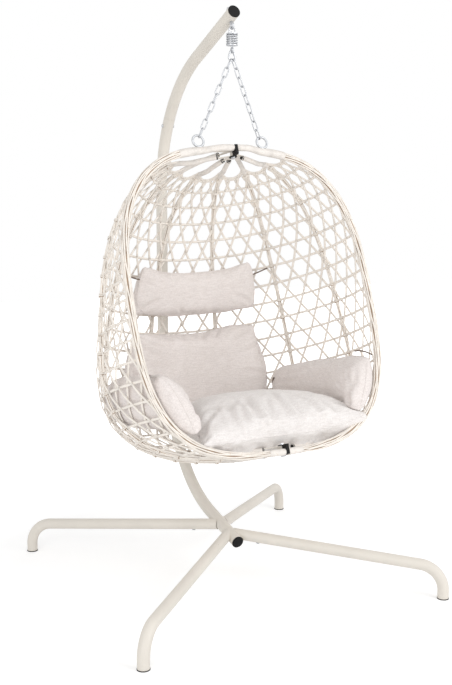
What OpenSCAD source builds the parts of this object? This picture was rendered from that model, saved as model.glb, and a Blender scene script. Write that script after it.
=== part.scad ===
// Hanging egg chair: a steel stand with four splayed legs and a C-shaped post, a sprung
// swivel hanger with two chains, a folding woven basket of six ribs and two rim halves,
// and five loose cushions.  Units are millimetres.
// The origin is on the ground at the middle of the footprint.  The sitter looks along -Y.

/* [Stand] */
// Half the width between the feet, left to right
foot_x = 545; // [480:5:600]
// Half the depth between the feet, front to back
foot_y = 540; // [480:5:600]
// Outside diameter of the post
post_d = 42; // [38:1:48]
// Outside diameter of the legs
leg_d = 38; // [32:1:42]
// Wall of the steel tubes
wall = 1.8; // [1.5:0.1:2.5]
// Height of a leg's centre line where it turns down to its foot
leg_corner_z = 106; // [95:1:120]
// Bend radius where a leg turns down
leg_bend_r = 84; // [70:1:100]

/* [Basket] */
// Length of the hinge axis, from the top pin to the bottom pin
axis_len = 1012; // [950:1:1040]
// Lean of the hinge axis from upright
axis_tilt = 20; // [16:0.5:23]
// Half the width of the rim
half_w = 440; // [400:5:460]
// How far the back bulges beyond a half round
back_bulge = 204; // [160:2:215]
// Diameter of the wrapped rim
rim_d = 24; // [22:1:28]
// Diameter of a wrapped rib
rib_d = 15; // [13:1:16]
// Thickness of a woven strand
strand_d = 6; // [4.5:0.5:7]
// Rows of the weave
rows = 15; // [11:2:17]
// Spacing of the rows along a rib
row_gap = 82; // [70:1:110]
// Length along a rib from the top pin to the first row
first_row = 220; // [180:5:260]

/* [Hanger] */
// Links in each chain, an odd number
chain_links = 9; // [9:2:9]
// Wire of the chain
chain_wire = 4.2; // [3.5:0.1:4.5]
// Turns of the compression spring
spring_turns = 4.5; // [3.5:0.5:5]

/* [Cushions] */
// Thickness of the seat cushion at its crown
seat_t = 172; // [140:2:176]
// Thickness of the back cushion at its crown
back_t = 105; // [80:5:120]
// Thickness of the head pillow at its crown
pillow_t = 85; // [70:5:100]
// Thickness of an arm cushion at its crown
arm_t = 130; // [80:5:135]

/* [Hidden] */

$fn = 48;
steel = "#cfc8bc";
zinc = "#c9ccce";
black = "#26262a";
wicker = "#e6dccb";
linen = "#dcd2ca";
tape = "#8d8178";
slack = 0.3;

// ---- Stand: the post's centre line, drawn from its bottom front end -------------------
post_end = [-94, 146];
run_tilt = 13.5;
run_len = 217;
low_bend_r = 425;
low_bend_to = 48;
back_bend_r = 750;
upright_top = 1354;
top_bend_r = 500;
arm_lean = 67.7;
split_lean = 33;
arm_len = 300;
front_station = -33;
back_station = 25;
socket_len = 140;
spigot_len = 60;
cap_lip = 3;

function ahead(p, a, l) = [p[0] + l * cos(a), p[1] + l * sin(a)];
function left_of(p, a, r) = [p[0] - r * sin(a), p[1] + r * cos(a)];
run_end = ahead(post_end, run_tilt, run_len);
low_centre = left_of(run_end, run_tilt, low_bend_r);
low_bend_end = left_of(low_centre, low_bend_to, -low_bend_r);
back_centre = left_of(low_bend_end, low_bend_to, back_bend_r);
upright_y = back_centre[0] + back_bend_r;
top_centre = [upright_y - top_bend_r, upright_top];
arm_start = left_of(top_centre, 90 + arm_lean, -top_bend_r);
arm_end = ahead(arm_start, 90 + arm_lean, arm_len);
function station_z(y) = post_end[1] + (y - post_end[0]) * tan(run_tilt);

// ---- Hanger heights ---------------------------------------------------------------
hang_y = -50;
arm_z = arm_start[1] + (arm_start[0] - hang_y) * tan(90 - arm_lean);
eye_r = 9.5;
eye_wire = 6.5;
eye_drop = 34.6;
eye_z = arm_z - eye_drop / sin(arm_lean);
// The eye bolt crosses the arm square to it, so it leans back from the eye
bolt_cross = [hang_y + eye_drop * cos(arm_lean), eye_z + eye_drop * sin(arm_lean)];
module bolt_frame() translate([0, bolt_cross[0], bolt_cross[1]])
    rotate([arm_lean - 90, 0, 0]) children();
yoke_wire = 5;
yoke_r = 11;
yoke_top_z = eye_z - eye_r + eye_wire / 2 + yoke_wire / 2 + 0.7;
spring_r = 17.8;
spring_wire = 4.4;
plate_r = 19;
plate_t = 3;
plate_z = yoke_top_z - 60;
spring_len = 33;
washer_z = plate_z + plate_t + spring_len;
rod_d = 6;
swivel_r = 8;
swivel_wire = 5;
swivel_z = plate_z - 14.5;
link_wire = 6;
link_top_r = 8;
link_low_r = 12;
link_len = 32;
sway_z = swivel_z - swivel_r + swivel_wire / 2 + link_wire / 2 + 0.5;
link_low_z = sway_z - link_len;
ring_r = 19.5;
ring_wire = 7;

// ---- Basket: one formula gives the rim, the ribs and the weave ----------------------
hinge_y = -50;
hinge_z = 1488;
top_power = 2.75;
low_power = 3.15;
bulge_drop = 2.6;
bulge_full = 0.45;
rib_step = 180 / 7;
pin_d = 8;
tab_t = 2.4;
tab_pitch = 3;
level_step = 8;
rib_end_u = 0.044;
rim_end_u = 0.0043;
rim_front = 24;
rim_meet_r = 120;
ring_x = 120;

function half_width(s) =
    half_w * pow(max(1 - pow(abs(2 * s - 1), s < 0.5 ? top_power : low_power), 0), 1 / 3);
function bulge(s) = back_bulge * pow(max(sin(180 * pow(s, bulge_drop)), 0), bulge_full);
function reach(phi, s) =
    let (b = bulge(s) * cos(phi), w = half_width(s)) b + sqrt(w * w + b * b);
function along(t) = (1 - cos(180 * t)) / 2;
function ease(x) = let (c = min(max(x, 0), 1)) c * c * (3 - 2 * c);
function pole_s(r) = (1 - pow(1 - pow(r / half_w, 3), 1 / top_power)) / 2;
// Close to the pins every second rib passes on the inner side of its neighbours
function level(r, side, s) =
    (side - 1) * level_step * (1 - ease((r - 130) / 80)) * (s < 0.5 ? 1 : -1);
function shell_point(phi, s, inset = 0, side = 1) =
    let (r = reach(phi, s))
    [(r - inset) * sin(phi), (r - inset) * cos(phi), -axis_len * s + level(r, side, s)];
module basket_frame() {
    translate([0, hinge_y, hinge_z]) rotate([-axis_tilt, 0, 0]) children();
}

// ---- Shared shapes ------------------------------------------------------------------
module between(p, q, d) {
    v = q - p;
    translate(p) rotate([0, acos(v[2] / norm(v)), atan2(v[1], v[0])])
        cylinder(d = d, h = norm(v));
}
// A straight or bent length of hollow tube in the upright plane x = 0
module ring_section(d, bore) {
    difference() {
        circle(d = d);
        if (bore > 0) circle(d = bore);
    }
}
module side_straight(p, a, l, d, bore = 0) {
    translate([0, p[0], p[1]]) rotate([a - 90, 0, 0])
        linear_extrude(l) ring_section(d, bore);
}
module side_bend(c, r, a0, a1, d, bore = 0) {
    translate([0, c[0], c[1]]) rotate([90, 0, 90]) rotate([0, 0, a0])
        rotate_extrude(angle = a1 - a0) translate([r, 0]) ring_section(d, bore);
}
// The same, thicker by a hair and reaching half a millimetre into both neighbours
hair = 0.3;
lap = 0.5;
module lapped_straight(p, a, l, d, bore)
    side_straight(ahead(p, a, -lap), a, l + 2 * lap, d + hair, bore - hair);
module lapped_bend(c, r, a0, a1, d, bore) {
    more = lap / r * 180 / PI;
    side_bend(c, r, a0 - more, a1 + more, d + hair, bore - hair);
}
function unit(v) = v / norm(v);
function side_axis(t, up) = unit(cross(t, up));
// A tube through a list of points, with a diameter for each
module swept(pts, dia, sides, up = [0, 0, 1]) {
    n = len(pts);
    tangent = [for (i = [0:n - 1]) unit(pts[min(i + 1, n - 1)] - pts[max(i - 1, 0)])];
    rings = [for (i = [0:n - 1])
        let (a = side_axis(tangent[i], up), b = cross(a, tangent[i]))
        for (k = [0:sides - 1])
            let (g = 360 * (k + 0.5) / sides)
            pts[i] + dia[i] / 2 * (cos(g) * a + sin(g) * b)];
    walls = [for (i = [0:n - 2], k = [0:sides - 1])
        let (m = (k + 1) % sides, c = i * sides, e = c + sides)
        each [[c + k, e + m, e + k], [c + k, c + m, e + m]]];
    first = [for (k = [1:sides - 2]) [0, k + 1, k]];
    last = [for (k = [1:sides - 2])
        let (c = (n - 1) * sides) [c, c + k, c + k + 1]];
    polyhedron(rings, concat(walls, first, last), convexity = 6);
}

// ---- Stand --------------------------------------------------------------------------
module post_lower() color(steel) {
    bore = post_d - 2 * wall;
    side_straight(post_end, run_tilt, run_len, post_d, bore);
    lapped_bend(low_centre, low_bend_r, run_tilt - 90, low_bend_to - 90, post_d, bore);
    side_bend(back_centre, back_bend_r, low_bend_to - 90, 0, post_d, bore);
    lapped_straight([upright_y, back_centre[1]], 90, upright_top - back_centre[1],
        post_d, bore);
    side_bend(top_centre, top_bend_r, 0, split_lean, post_d, bore);
}
// The upper length ends in a sleeve, welded inside it, that slides into the lower length
module post_upper() color(steel) {
    bore = post_d - 2 * wall;
    spigot = bore - 2 * slack;
    split = split_lean + 0.05;
    difference() {
        union() {
            side_bend(top_centre, top_bend_r, split, arm_lean, post_d, bore);
            lapped_straight(arm_start, 90 + arm_lean, arm_len, post_d, bore);
            side_bend(top_centre, top_bend_r, split + 0.2, split + 1.6, bore + 1, spigot - 1);
            side_bend(top_centre, top_bend_r, split - 7, split + 1.4, spigot,
                spigot - 2 * wall);
        }
        bolt_frame() translate([0, 0, -40]) cylinder(d = 8.4, h = 80);
    }
}
// A leg lies in an upright plane through its station on the post
function station(ys) = [0, ys, station_z(ys)];
function foot_at(sx, sy) = [sx * foot_x, sy * foot_y];
function leg_turn(ys, f) = atan2(f[1] - ys, f[0]);
function leg_run(ys, f) = norm([f[0], f[1] - ys]);
function leg_drop(ys, f) = atan((station_z(ys) - leg_corner_z) / leg_run(ys, f));
module leg_frame(ys, f) {
    translate([0, ys, 0]) rotate([0, 0, leg_turn(ys, f) - 90]) children();
}
module leg(ys, f) color(steel) {
    run = leg_run(ys, f);
    drop = leg_drop(ys, f);
    turn = 90 - drop;
    bore = leg_d - 2 * wall;
    spigot = bore - 2 * slack;
    setback = leg_bend_r * tan(turn / 2);
    z0 = station_z(ys);
    start = ahead([0, z0], -drop, socket_len + slack);
    bend_from = ahead([run, leg_corner_z], 180 - drop, setback);
    centre = left_of(bend_from, -drop, -leg_bend_r);
    leg_frame(ys, f) {
        side_straight(start, -drop, norm(bend_from - start), leg_d, bore);
        lapped_bend(centre, leg_bend_r, 0, 90 - drop, leg_d, bore);
        translate([0, run, cap_lip]) linear_extrude(leg_corner_z - setback - cap_lip)
            ring_section(leg_d, bore);
        side_straight(ahead(start, -drop, 2), -drop, 14, bore + 1, spigot - 1);
        side_straight(ahead(start, 180 - drop, spigot_len), -drop, spigot_len + 12, spigot,
            spigot - 2 * wall);
    }
}
module leg_front_left() leg(front_station, foot_at(-1, -1));
module leg_front_right() leg(front_station, foot_at(1, -1));
module leg_back_left() leg(back_station, foot_at(-1, 1));
module leg_back_right() leg(back_station, foot_at(1, 1));
// Four short stubs welded to the post, saddle cut to its surface
module leg_sockets() color(steel) difference() {
    for (sx = [-1, 1], sy = [-1, 1]) {
        ys = sy < 0 ? front_station : back_station;
        f = foot_at(sx, sy);
        leg_frame(ys, f)
            side_straight(ahead([0, station_z(ys)], -leg_drop(ys, f), 15),
                -leg_drop(ys, f), socket_len - 15, leg_d, leg_d - 2 * wall);
    }
    side_straight(ahead(post_end, run_tilt, -2), run_tilt, run_len + 4, post_d + 0.02);
}
module foot_caps() color(black)
    for (sx = [-1, 1], sy = [-1, 1])
        translate([sx * foot_x, sy * foot_y, 0]) {
            cylinder(d = leg_d + 2, h = cap_lip - 0.1);
            cylinder(d = leg_d - 2 * wall - 2 * slack, h = 22);
        }
module tube_plug(d, wide, depth) {
    rotate_extrude() polygon([[0, -1], [d / 2 - 2, -1], [d / 2, 0.3], [d / 2, 2.6],
        [d / 2 - 1.6, 4], [0, 5]]);
    translate([0, 0, -depth]) cylinder(d = wide, h = depth);
}
module post_end_cap() color(black)
    translate([0, post_end[0], post_end[1]]) rotate([run_tilt + 90, 0, 0])
        translate([0, 0, 1.1]) tube_plug(post_d, post_d - 2 * wall - 2 * slack, 18);
module arm_end_cap() color(black)
    translate([0, arm_end[0], arm_end[1]]) rotate([arm_lean, 0, 0])
        translate([0, 0, lap + 1.1]) tube_plug(post_d, post_d - 2 * wall - 2 * slack, 11);
// Button-head bolts, one under each socket and one across the post's joint
module button_bolt(shank) {
    rotate_extrude() polygon([[0, 0], [6.5, 0], [6.5, 1.4], [4.6, 3.6], [0, 3.6]]);
    translate([0, 0, -shank]) cylinder(d = 6, h = shank);
}
module leg_bolts() color(zinc)
    for (sx = [-1, 1], sy = [-1, 1]) {
        ys = sy < 0 ? front_station : back_station;
        f = foot_at(sx, sy);
        p = ahead([0, station_z(ys)], -leg_drop(ys, f), socket_len - 35);
        leg_frame(ys, f)
            translate([0, p[0], p[1] - leg_d / 2 - 0.1]) rotate([180, 0, 0])
                button_bolt(14);
    }
module post_bolt() color(zinc) {
    p = left_of(top_centre, 90 + split_lean - 4, -top_bend_r);
    for (sx = [-1, 1])
        translate([sx * (post_d / 2 + 0.1), p[0], p[1]]) rotate([0, sx * 90, 0])
            button_bolt(12);
}

// ---- Hanger -------------------------------------------------------------------------
// A wire ring standing in the plane x = 0
module wire_ring(r, wire) rotate([0, 90, 0]) rotate_extrude() translate([r, 0])
    circle(d = wire);
module hex_nut(af, h) cylinder(d = af / cos(30), h = h, $fn = 6);
washer_t = 1.8;
module eye_bolt() color(zinc) bolt_frame() {
    seat = post_d / 2 + 0.3 + washer_t;
    translate([0, 0, -eye_drop]) wire_ring(eye_r, eye_wire);
    translate([0, 0, eye_r - eye_drop]) cylinder(d = 8, h = seat + 9 + eye_drop - eye_r);
    translate([0, 0, seat + 0.2]) hex_nut(13, 6.5);
}
module bolt_washers() color(zinc) bolt_frame()
    for (side = [0, 1]) mirror([0, 0, side]) translate([0, 0, post_d / 2 + 0.2])
        difference() {
            cylinder(d = side ? 13 : 19, h = side ? 0.5 : washer_t);
            translate([0, 0, -1]) cylinder(d = 8.6, h = washer_t + 2);
        }
module yoke() color(zinc) translate([0, hang_y, 0]) {
    legs_top = yoke_top_z - yoke_r;
    for (sx = [-1, 1])
        translate([sx * yoke_r, 0, plate_z]) cylinder(d = yoke_wire, h = legs_top - plate_z);
    translate([0, 0, legs_top]) rotate([90, 0, 0]) rotate_extrude(angle = 180)
        translate([yoke_r, 0]) circle(d = yoke_wire);
    translate([0, 0, plate_z]) difference() {
        cylinder(r = plate_r, h = plate_t);
        translate([0, 0, -1]) cylinder(d = rod_d + 0.8, h = plate_t + 2);
    }
}
module spring() color(zinc) {
    rings = 8 * spring_turns;
    climb = spring_len - spring_wire - 0.8;
    base = plate_z + plate_t + 0.4 + spring_wire / 2;
    pts = [for (i = [0:rings])
        let (a = 360 * i / 8, f = i / rings)
        [spring_r * cos(a), hang_y + spring_r * sin(a), base + climb * f]];
    gap = climb / spring_turns - spring_wire;
    echo("least gap between the spring's turns, mm", gap);
    swept(pts, [for (p = pts) spring_wire], 6);
}
module spring_washer() color(zinc) translate([0, hang_y, washer_z]) difference() {
    cylinder(r = plate_r, h = plate_t);
    translate([0, 0, -1]) cylinder(d = rod_d + 0.6, h = plate_t + 2);
    for (sx = [-1, 1])
        translate([sx * yoke_r, 0, -1]) cylinder(d = yoke_wire + 1.2, h = plate_t + 2);
}
module swivel_eye() color(zinc) translate([0, hang_y, 0]) {
    top = washer_z + plate_t;
    translate([0, 0, swivel_z]) wire_ring(swivel_r, swivel_wire);
    translate([0, 0, swivel_z + swivel_r]) cylinder(d = rod_d, h = top + 6 - swivel_z - swivel_r);
    translate([0, 0, top + 0.3]) hex_nut(10, 4.5);
}
// A pear-shaped screw link, wide at the bottom where both chains hang
module quick_link() color(zinc) translate([0, hang_y, 0]) {
    top_c = sway_z - link_top_r;
    low_c = link_low_z + link_low_r;
    rise = top_c - low_c;
    lean = asin((link_low_r - link_top_r) / rise);
    side = sqrt(rise * rise - pow(link_low_r - link_top_r, 2));
    translate([0, 0, top_c]) rotate([90, 0, 0]) rotate([0, 0, lean])
        rotate_extrude(angle = 180 - 2 * lean) translate([link_top_r, 0]) circle(d = link_wire);
    translate([0, 0, low_c]) rotate([90, 0, 0]) rotate([0, 0, 180 - lean])
        rotate_extrude(angle = 180 + 2 * lean) translate([link_low_r, 0]) circle(d = link_wire);
    for (sx = [-1, 1])
        translate([sx * link_low_r * cos(lean), 0, low_c + link_low_r * sin(lean)])
            rotate([0, -sx * lean, 0]) {
                translate([0, 0, -lap]) cylinder(d = link_wire + hair, h = side + 2 * lap);
                if (sx > 0) translate([0, 0, 1]) hex_nut(9.5, side - 2);
            }
}
// Chain: from the wire of the quick link to the ring on the rim
chain_x = 5.4;
chain_top = [chain_x, hang_y,
    link_low_z + link_low_r - sqrt(pow(link_low_r, 2) - pow(chain_x, 2))];
ring_weld = 1;
play = 0.35;
chain_bend = 7.4;
ring_local = [ring_x, 0,
    -axis_len * pole_s(ring_x) + rim_d / 2 + ring_r + ring_wire / 2 - ring_weld];
function to_world(p) = [p[0],
    hinge_y + p[1] * cos(axis_tilt) + p[2] * sin(axis_tilt),
    hinge_z - p[1] * sin(axis_tilt) + p[2] * cos(axis_tilt)];
top_over_pole = (chain_top[2] - hinge_z) * cos(axis_tilt);
pull = unit([chain_x - ring_local[0], 0, top_over_pole - ring_local[2]]);
chain_end = to_world(ring_local + ring_r * pull);
module chain_link(inner, wire, r) {
    straight = inner + wire - 2 * r;
    for (sz = [-1, 1]) {
        translate([0, 0, sz * straight / 2]) rotate([90, 0, 90])
            rotate([0, 0, sz > 0 ? 0 : 180])
                rotate_extrude(angle = 180) translate([r, 0]) circle(d = wire);
        translate([0, sz * r, -straight / 2]) cylinder(d = wire, h = straight);
    }
}
module chain(sx) color(zinc) {
    a = [sx * chain_top[0], chain_top[1], chain_top[2]];
    b = [sx * chain_end[0], chain_end[1], chain_end[2]];
    v = unit(b - a);
    pitch = (norm(b - a) + (link_wire + ring_wire) / 2) / chain_links;
    inner = pitch + play;
    first = a - v * (link_wire / 2 - inner / 2 + play / 2);
    tilt = [0, acos(v[2]), atan2(v[1], v[0])];
    for (i = [0:chain_links - 1])
        translate(first + v * pitch * i) rotate(tilt)
            rotate([0, 0, (i % 2) * 90]) chain_link(inner, chain_wire, chain_bend);
}
module chain_left() chain(-1);
module chain_right() chain(1);

// ---- Basket hinges ------------------------------------------------------------------
stack_z = -level_step;
slot_half = 14.2;
plate_edge = 2;
module pin_stack() {
    grip = slot_half + plate_edge;
    translate([0, 0, -grip - 1]) cylinder(d = pin_d, h = 2 * grip + 2);
    translate([0, 0, grip + 0.3]) cylinder(d = 16, h = 5);
    translate([0, 0, -grip - 5.3]) hex_nut(13, 5);
}
// A black bracket: a round plate above and below the tabs, joined by a web that shows
// between the ends of the two rim halves
module hinge_bracket() difference() {
    grip = slot_half + plate_edge;
    union() {
        for (z = [-grip, slot_half]) translate([0, 0, z]) cylinder(r = 13, h = plate_edge);
        translate([-5, -rim_front - 11, -grip]) cube([10, rim_front + 1.5, 2 * grip]);
    }
    translate([0, 0, -grip - 1]) cylinder(d = pin_d + 0.6, h = 2 * grip + 2);
}
module top_hinge() basket_frame() translate([0, 0, stack_z]) children();
module bottom_hinge() basket_frame() translate([0, 0, -axis_len - stack_z])
    mirror([0, 0, 1]) children();
module top_pin() color(zinc) top_hinge() pin_stack();
module bottom_pin() color(zinc) bottom_hinge() pin_stack();
module top_cover() color(black) top_hinge() hinge_bracket();
module bottom_cover() color(black) bottom_hinge() hinge_bracket();

// ---- Basket ribs and rim --------------------------------------------------------------
// Members are numbered 1 to 4 from the back on each side, and the fourth is the rim
function member_phi(sx, i) = sx * (i == 4 ? 90 : (i - 0.5) * rib_step);
function member_side(i) = (i % 2 == 0) ? 1 : -1;
// Where a member's flat tab sits in the stack on the pin
function tab_z(sx, i) =
    stack_z + member_side(i) * level_step + tab_pitch * ((i > 2 ? 1.5 : 0.5) * sx);
module tab(phi, z, r) {
    translate([0, 0, z - tab_t / 2]) rotate([0, 0, 90 - phi]) linear_extrude(tab_t)
        difference() {
            union() {
                circle(d = 17);
                translate([0, -5.5]) square([r, 11]);
            }
            circle(d = pin_d + 0.8);
        }
}
tab_reach = 64;
low_tab_reach = 84;
rim_tab_reach = 100;
module hinge_tabs(sx, i) color(steel) basket_frame() {
    phi = member_phi(sx, i);
    tab(phi, tab_z(sx, i), i == 4 ? rim_tab_reach : tab_reach);
    translate([0, 0, -axis_len])
        tab(phi, -tab_z(sx, i), i == 4 ? rim_tab_reach : low_tab_reach);
}
// Even steps along a member, close together near the poles where it turns sharply
function member_s(u) =
    let (c = min(u, 1 - u), t = 0.5 * pow(2 * c, 1.5)) along(u < 0.5 ? t : 1 - t);
module member(sx, i, d, end_d, sides, count) color(wicker) basket_frame() {
    phi = member_phi(sx, i);
    side = member_side(i);
    u0 = i == 4 ? rim_end_u : rib_end_u;
    pts = [for (k = [0:count])
        let (p = shell_point(phi, member_s(u0 + (1 - 2 * u0) * k / count), 0, side),
            r = norm([p[0], p[1]]))
        p - [0, i == 4 ? rim_front * (1 - ease((r - 40) / (rim_meet_r - 40))) : 0, 0]];
    dia = [for (p = pts) end_d + (d - end_d) * ease((norm([p[0], p[1]]) - 70) / 90)];
    swept(pts, dia, sides, [cos(phi), -sin(phi), 0.0001]);
}
module rib(sx, i) member(sx, i, rib_d, 12, 8, 26);
module rim(sx) member(sx, 4, rim_d, 20, 10, 34);
module rib_left_1() rib(-1, 1);
module rib_left_2() rib(-1, 2);
module rib_left_3() rib(-1, 3);
module rib_right_1() rib(1, 1);
module rib_right_2() rib(1, 2);
module rib_right_3() rib(1, 3);
module rim_left() rim(-1);
module rim_right() rim(1);
module hinge_tabs_left_1() hinge_tabs(-1, 1);
module hinge_tabs_left_2() hinge_tabs(-1, 2);
module hinge_tabs_left_3() hinge_tabs(-1, 3);
module hinge_tabs_right_1() hinge_tabs(1, 1);
module hinge_tabs_right_2() hinge_tabs(1, 2);
module hinge_tabs_right_3() hinge_tabs(1, 3);
module hinge_tabs_rim_left() hinge_tabs(-1, 4);
module hinge_tabs_rim_right() hinge_tabs(1, 4);
module hang_ring(sx) color(wicker) basket_frame()
    translate([sx * ring_local[0], 0, ring_local[2]]) rotate([90, 0, 0])
        rotate_extrude() translate([ring_r, 0]) circle(d = ring_wire);
module hang_ring_left() hang_ring(-1);
module hang_ring_right() hang_ring(1);

// ---- Weave ----------------------------------------------------------------------------
// Each panel fills the space between a member and its neighbour nearer the back.  Rows run
// level, evenly spaced along the ribs.  Slanted strands climb one slot from row to row, one
// set inside the rows and one outside, and leave hexagons between them.
layer = strand_d + 2;
row_inset = 4;
gore_slots = 4;
end_share = 0.05;
row_parts = 2;
strand_sides = 4;
measured_rib = 2.5 * rib_step;
rib_steps = 90;
// Length along a rib, from the top pin, against share of the height
rib_lengths = [for (i = 0, d = 0; i <= rib_steps; i = i + 1,
    d = d + norm(shell_point(measured_rib, along(i / rib_steps))
        - shell_point(measured_rib, along((i - 1) / rib_steps))))
    [d, along(i / rib_steps)]];
function row_s(k) = lookup(first_row + row_gap * k, rib_lengths);
module strand(p) swept(p, [for (q = p) strand_d], strand_sides, [0.3, 0.2, 1]);
// The angle at share f of the way across a panel, from 0 at the inner member to 1
function panel_phi(sx, i, f, s) =
    let (r = reach(member_phi(1, i), s),
        a = i == 1 ? asin(0.6 / r) : member_phi(1, i - 1) + asin((rib_d / 2 + 0.8) / r),
        b = member_phi(1, i) - asin(((i == 4 ? rim_d : rib_d) / 2 + 0.8) / r))
    sx * (a + (b - a) * f);
module weave(sx, i) {
    // The panel's slots, counted from the middle of the back
    slots = i == 1 ? gore_slots / 2 : gore_slots;
    start = i == 1 ? 0 : gore_slots * (i - 1.5);
    end = start + slots;
    odd = sx > 0 ? 1 : 0;
    last = rows - 1;
    function at(g, k, inset) =
        let (f = min(max((g - start) / slots, end_share), 1 - end_share))
        shell_point(panel_phi(sx, i, f, row_s(k)), row_s(k), inset);
    color(wicker) basket_frame() {
        for (k = [0:last])
            strand([for (f = [0:1 / row_parts:1])
                shell_point(panel_phi(sx, i, f, row_s(k)), row_s(k), row_inset)]);
        for (m = [start - last + 1:end - 1])
            if ((m + last * 2 + odd) % 2 == 0)
                strand([for (k = [max(0, start - m):min(last, end - m)])
                    at(m + k, k, row_inset + layer)]);
        for (m = [start + 1:end + last - 1])
            if ((m + odd) % 2 == 1)
                strand([for (k = [max(0, m - end):min(last, m - start)])
                    at(m - k, k, row_inset - layer)]);
    }
}
module weave_left_1() weave(-1, 1);
module weave_left_2() weave(-1, 2);
module weave_left_3() weave(-1, 3);
module weave_left_4() weave(-1, 4);
module weave_right_1() weave(1, 1);
module weave_right_2() weave(1, 2);
module weave_right_3() weave(1, 3);
module weave_right_4() weave(1, 4);

// ---- Cushions -------------------------------------------------------------------------
// A cushion is a closed pillow on a grid: f runs across and g along, both from -1 to 1, and
// the two faces, top and low, meet in a seam all round.
seam_t = 1.2;
function spread(n) = [for (i = [0:n]) sin(90 * (2 * i / n - 1))];
function swell(f, g, p, q) = pow(max((1 - pow(abs(f), p)) * (1 - pow(abs(g), p)), 0), q);
function rounded(f, g, corner) = f * sqrt(1 - corner * g * g / 2);
function mix(ends, f) = (ends[0] + ends[1]) / 2 + (ends[1] - ends[0]) / 2 * f;
module pad(top, low, nf, ng) {
    w = nf + 1;
    count = w * (ng + 1);
    faces_top = [for (j = [0:ng - 1], i = [0:nf - 1])
        let (a = j * w + i) each [[a, a + 1, a + w + 1], [a, a + w + 1, a + w]]];
    faces_low = [for (q = faces_top) [q[2] + count, q[1] + count, q[0] + count]];
    seam = concat([for (i = [0:nf - 1]) [i, i + 1]],
        [for (j = [0:ng - 1]) [j * w + nf, (j + 1) * w + nf]],
        [for (i = [nf:-1:1]) [ng * w + i, ng * w + i - 1]],
        [for (j = [ng:-1:1]) [j * w, (j - 1) * w]]);
    faces_seam = [for (e = seam)
        each [[e[1], e[0], e[0] + count], [e[1], e[0] + count, e[1] + count]]];
    polyhedron(concat(top, low), concat(faces_top, faces_low, faces_seam), convexity = 4);
}
// A cushion that leans on the inside of the shell, gap away from the ribs' centre lines.  It
// runs from angle a0 to a1, and top and foot give its edges, each as the share of the height
// at a0 and at a1.
module shell_pad(a0, a1, top, foot, t, gap, nf, ng, corner) {
    fs = spread(nf);
    gs = spread(ng);
    function place(f, g, h) =
        let (e0 = mix(top, f), e1 = mix(foot, f))
        shell_point((a0 + a1) / 2 + (a1 - a0) / 2 * rounded(f, g, corner),
            (e0 + e1) / 2 + (e1 - e0) / 2 * rounded(g, f, corner),
            gap + t / 2 + h * (t * swell(f, g, 2.8, 0.45) + seam_t) / 2);
    basket_frame() pad([for (g = gs, f = fs) place(f, g, 1)],
        [for (g = gs, f = fs) place(f, g, -1)], nf, ng);
}
// A cushion that lies level but for its lean, and gets narrower towards the back
module loose_pad(centre, size, lean, narrow, nf, ng, corner) {
    fs = spread(nf);
    gs = spread(ng);
    function place(f, g, h) =
        [size[0] * rounded(f, g, corner) * (1 - narrow * (g + 1) / 2),
        size[1] * rounded(g, f, corner),
        h * (size[2] * swell(f, g, 2.2, 0.55) + seam_t) / 2];
    translate(centre) rotate([-lean, 0, 0]) pad([for (g = gs, f = fs) place(f, g, -1)],
        [for (g = gs, f = fs) place(f, g, 1)], nf, ng);
}
module back_cushion() color(linen)
    shell_pad(-28.8, 28.8, [0.487, 0.487], [0.79, 0.79], back_t, 18, 14, 12, 0.3);
module head_pillow() color(linen)
    shell_pad(-28.2, 28.2, [0.287, 0.287], [0.432, 0.432], pillow_t, 22, 14, 8, 0.05);
// The seat lies a little to the right, because the left arm cushion sits lower
module seat_cushion() color(linen)
    loose_pad([30, -156, 592], [312, 236, seat_t], 8, 0.34, 16, 14, 0.3);
module arm_cushion_left() color(linen)
    shell_pad(-93, -30.6, [0.712, 0.66], [0.915, 0.8], arm_t, 20.5, 12, 10, 0.3);
module arm_cushion_right() color(linen)
    shell_pad(30.6, 93, [0.652, 0.69], [0.8, 0.9], arm_t, 20.5, 12, 10, 0.3);
// Tapes, each a bent run of points given as angle, share of the height and inset
tie_d = 5;
pillow_tie = [[28.35, 0.325, 66], [32.5, 0.312, 34], [36.5, 0.300, 20]];
arm_back_tie = [[30.65, 0.70, 85], [30.2, 0.715, 50], [30.4, 0.745, 19]];
arm_front_tie = [[79, 0.6825, 85], [83, 0.680, 50], [87.8, 0.676, 19]];
left_arm_drop = 0.019;
module cushion_ties() color(tape) basket_frame()
    for (sx = [-1, 1], run = [pillow_tie, arm_back_tie, arm_front_tie]) {
        drop = sx < 0 && run == arm_front_tie ? left_arm_drop : 0;
        pts = [for (q = run) shell_point(sx * q[0], q[1] + drop, q[2])];
        swept(pts, [for (q = pts) tie_d], 4);
    }

post_lower();
post_upper();
leg_sockets();
leg_front_left();
leg_front_right();
leg_back_left();
leg_back_right();
foot_caps();
post_end_cap();
arm_end_cap();
leg_bolts();
post_bolt();
eye_bolt();
bolt_washers();
yoke();
spring();
spring_washer();
swivel_eye();
quick_link();
chain_left();
chain_right();
top_pin();
bottom_pin();
top_cover();
bottom_cover();
rim_left();
rim_right();
hang_ring_left();
hang_ring_right();
rib_left_1();
rib_left_2();
rib_left_3();
rib_right_1();
rib_right_2();
rib_right_3();
hinge_tabs_rim_left();
hinge_tabs_rim_right();
hinge_tabs_left_1();
hinge_tabs_left_2();
hinge_tabs_left_3();
hinge_tabs_right_1();
hinge_tabs_right_2();
hinge_tabs_right_3();
weave_left_1();
weave_left_2();
weave_left_3();
weave_left_4();
weave_right_1();
weave_right_2();
weave_right_3();
weave_right_4();
seat_cushion();
back_cushion();
head_pillow();
arm_cushion_left();
arm_cushion_right();
cushion_ties();
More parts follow.
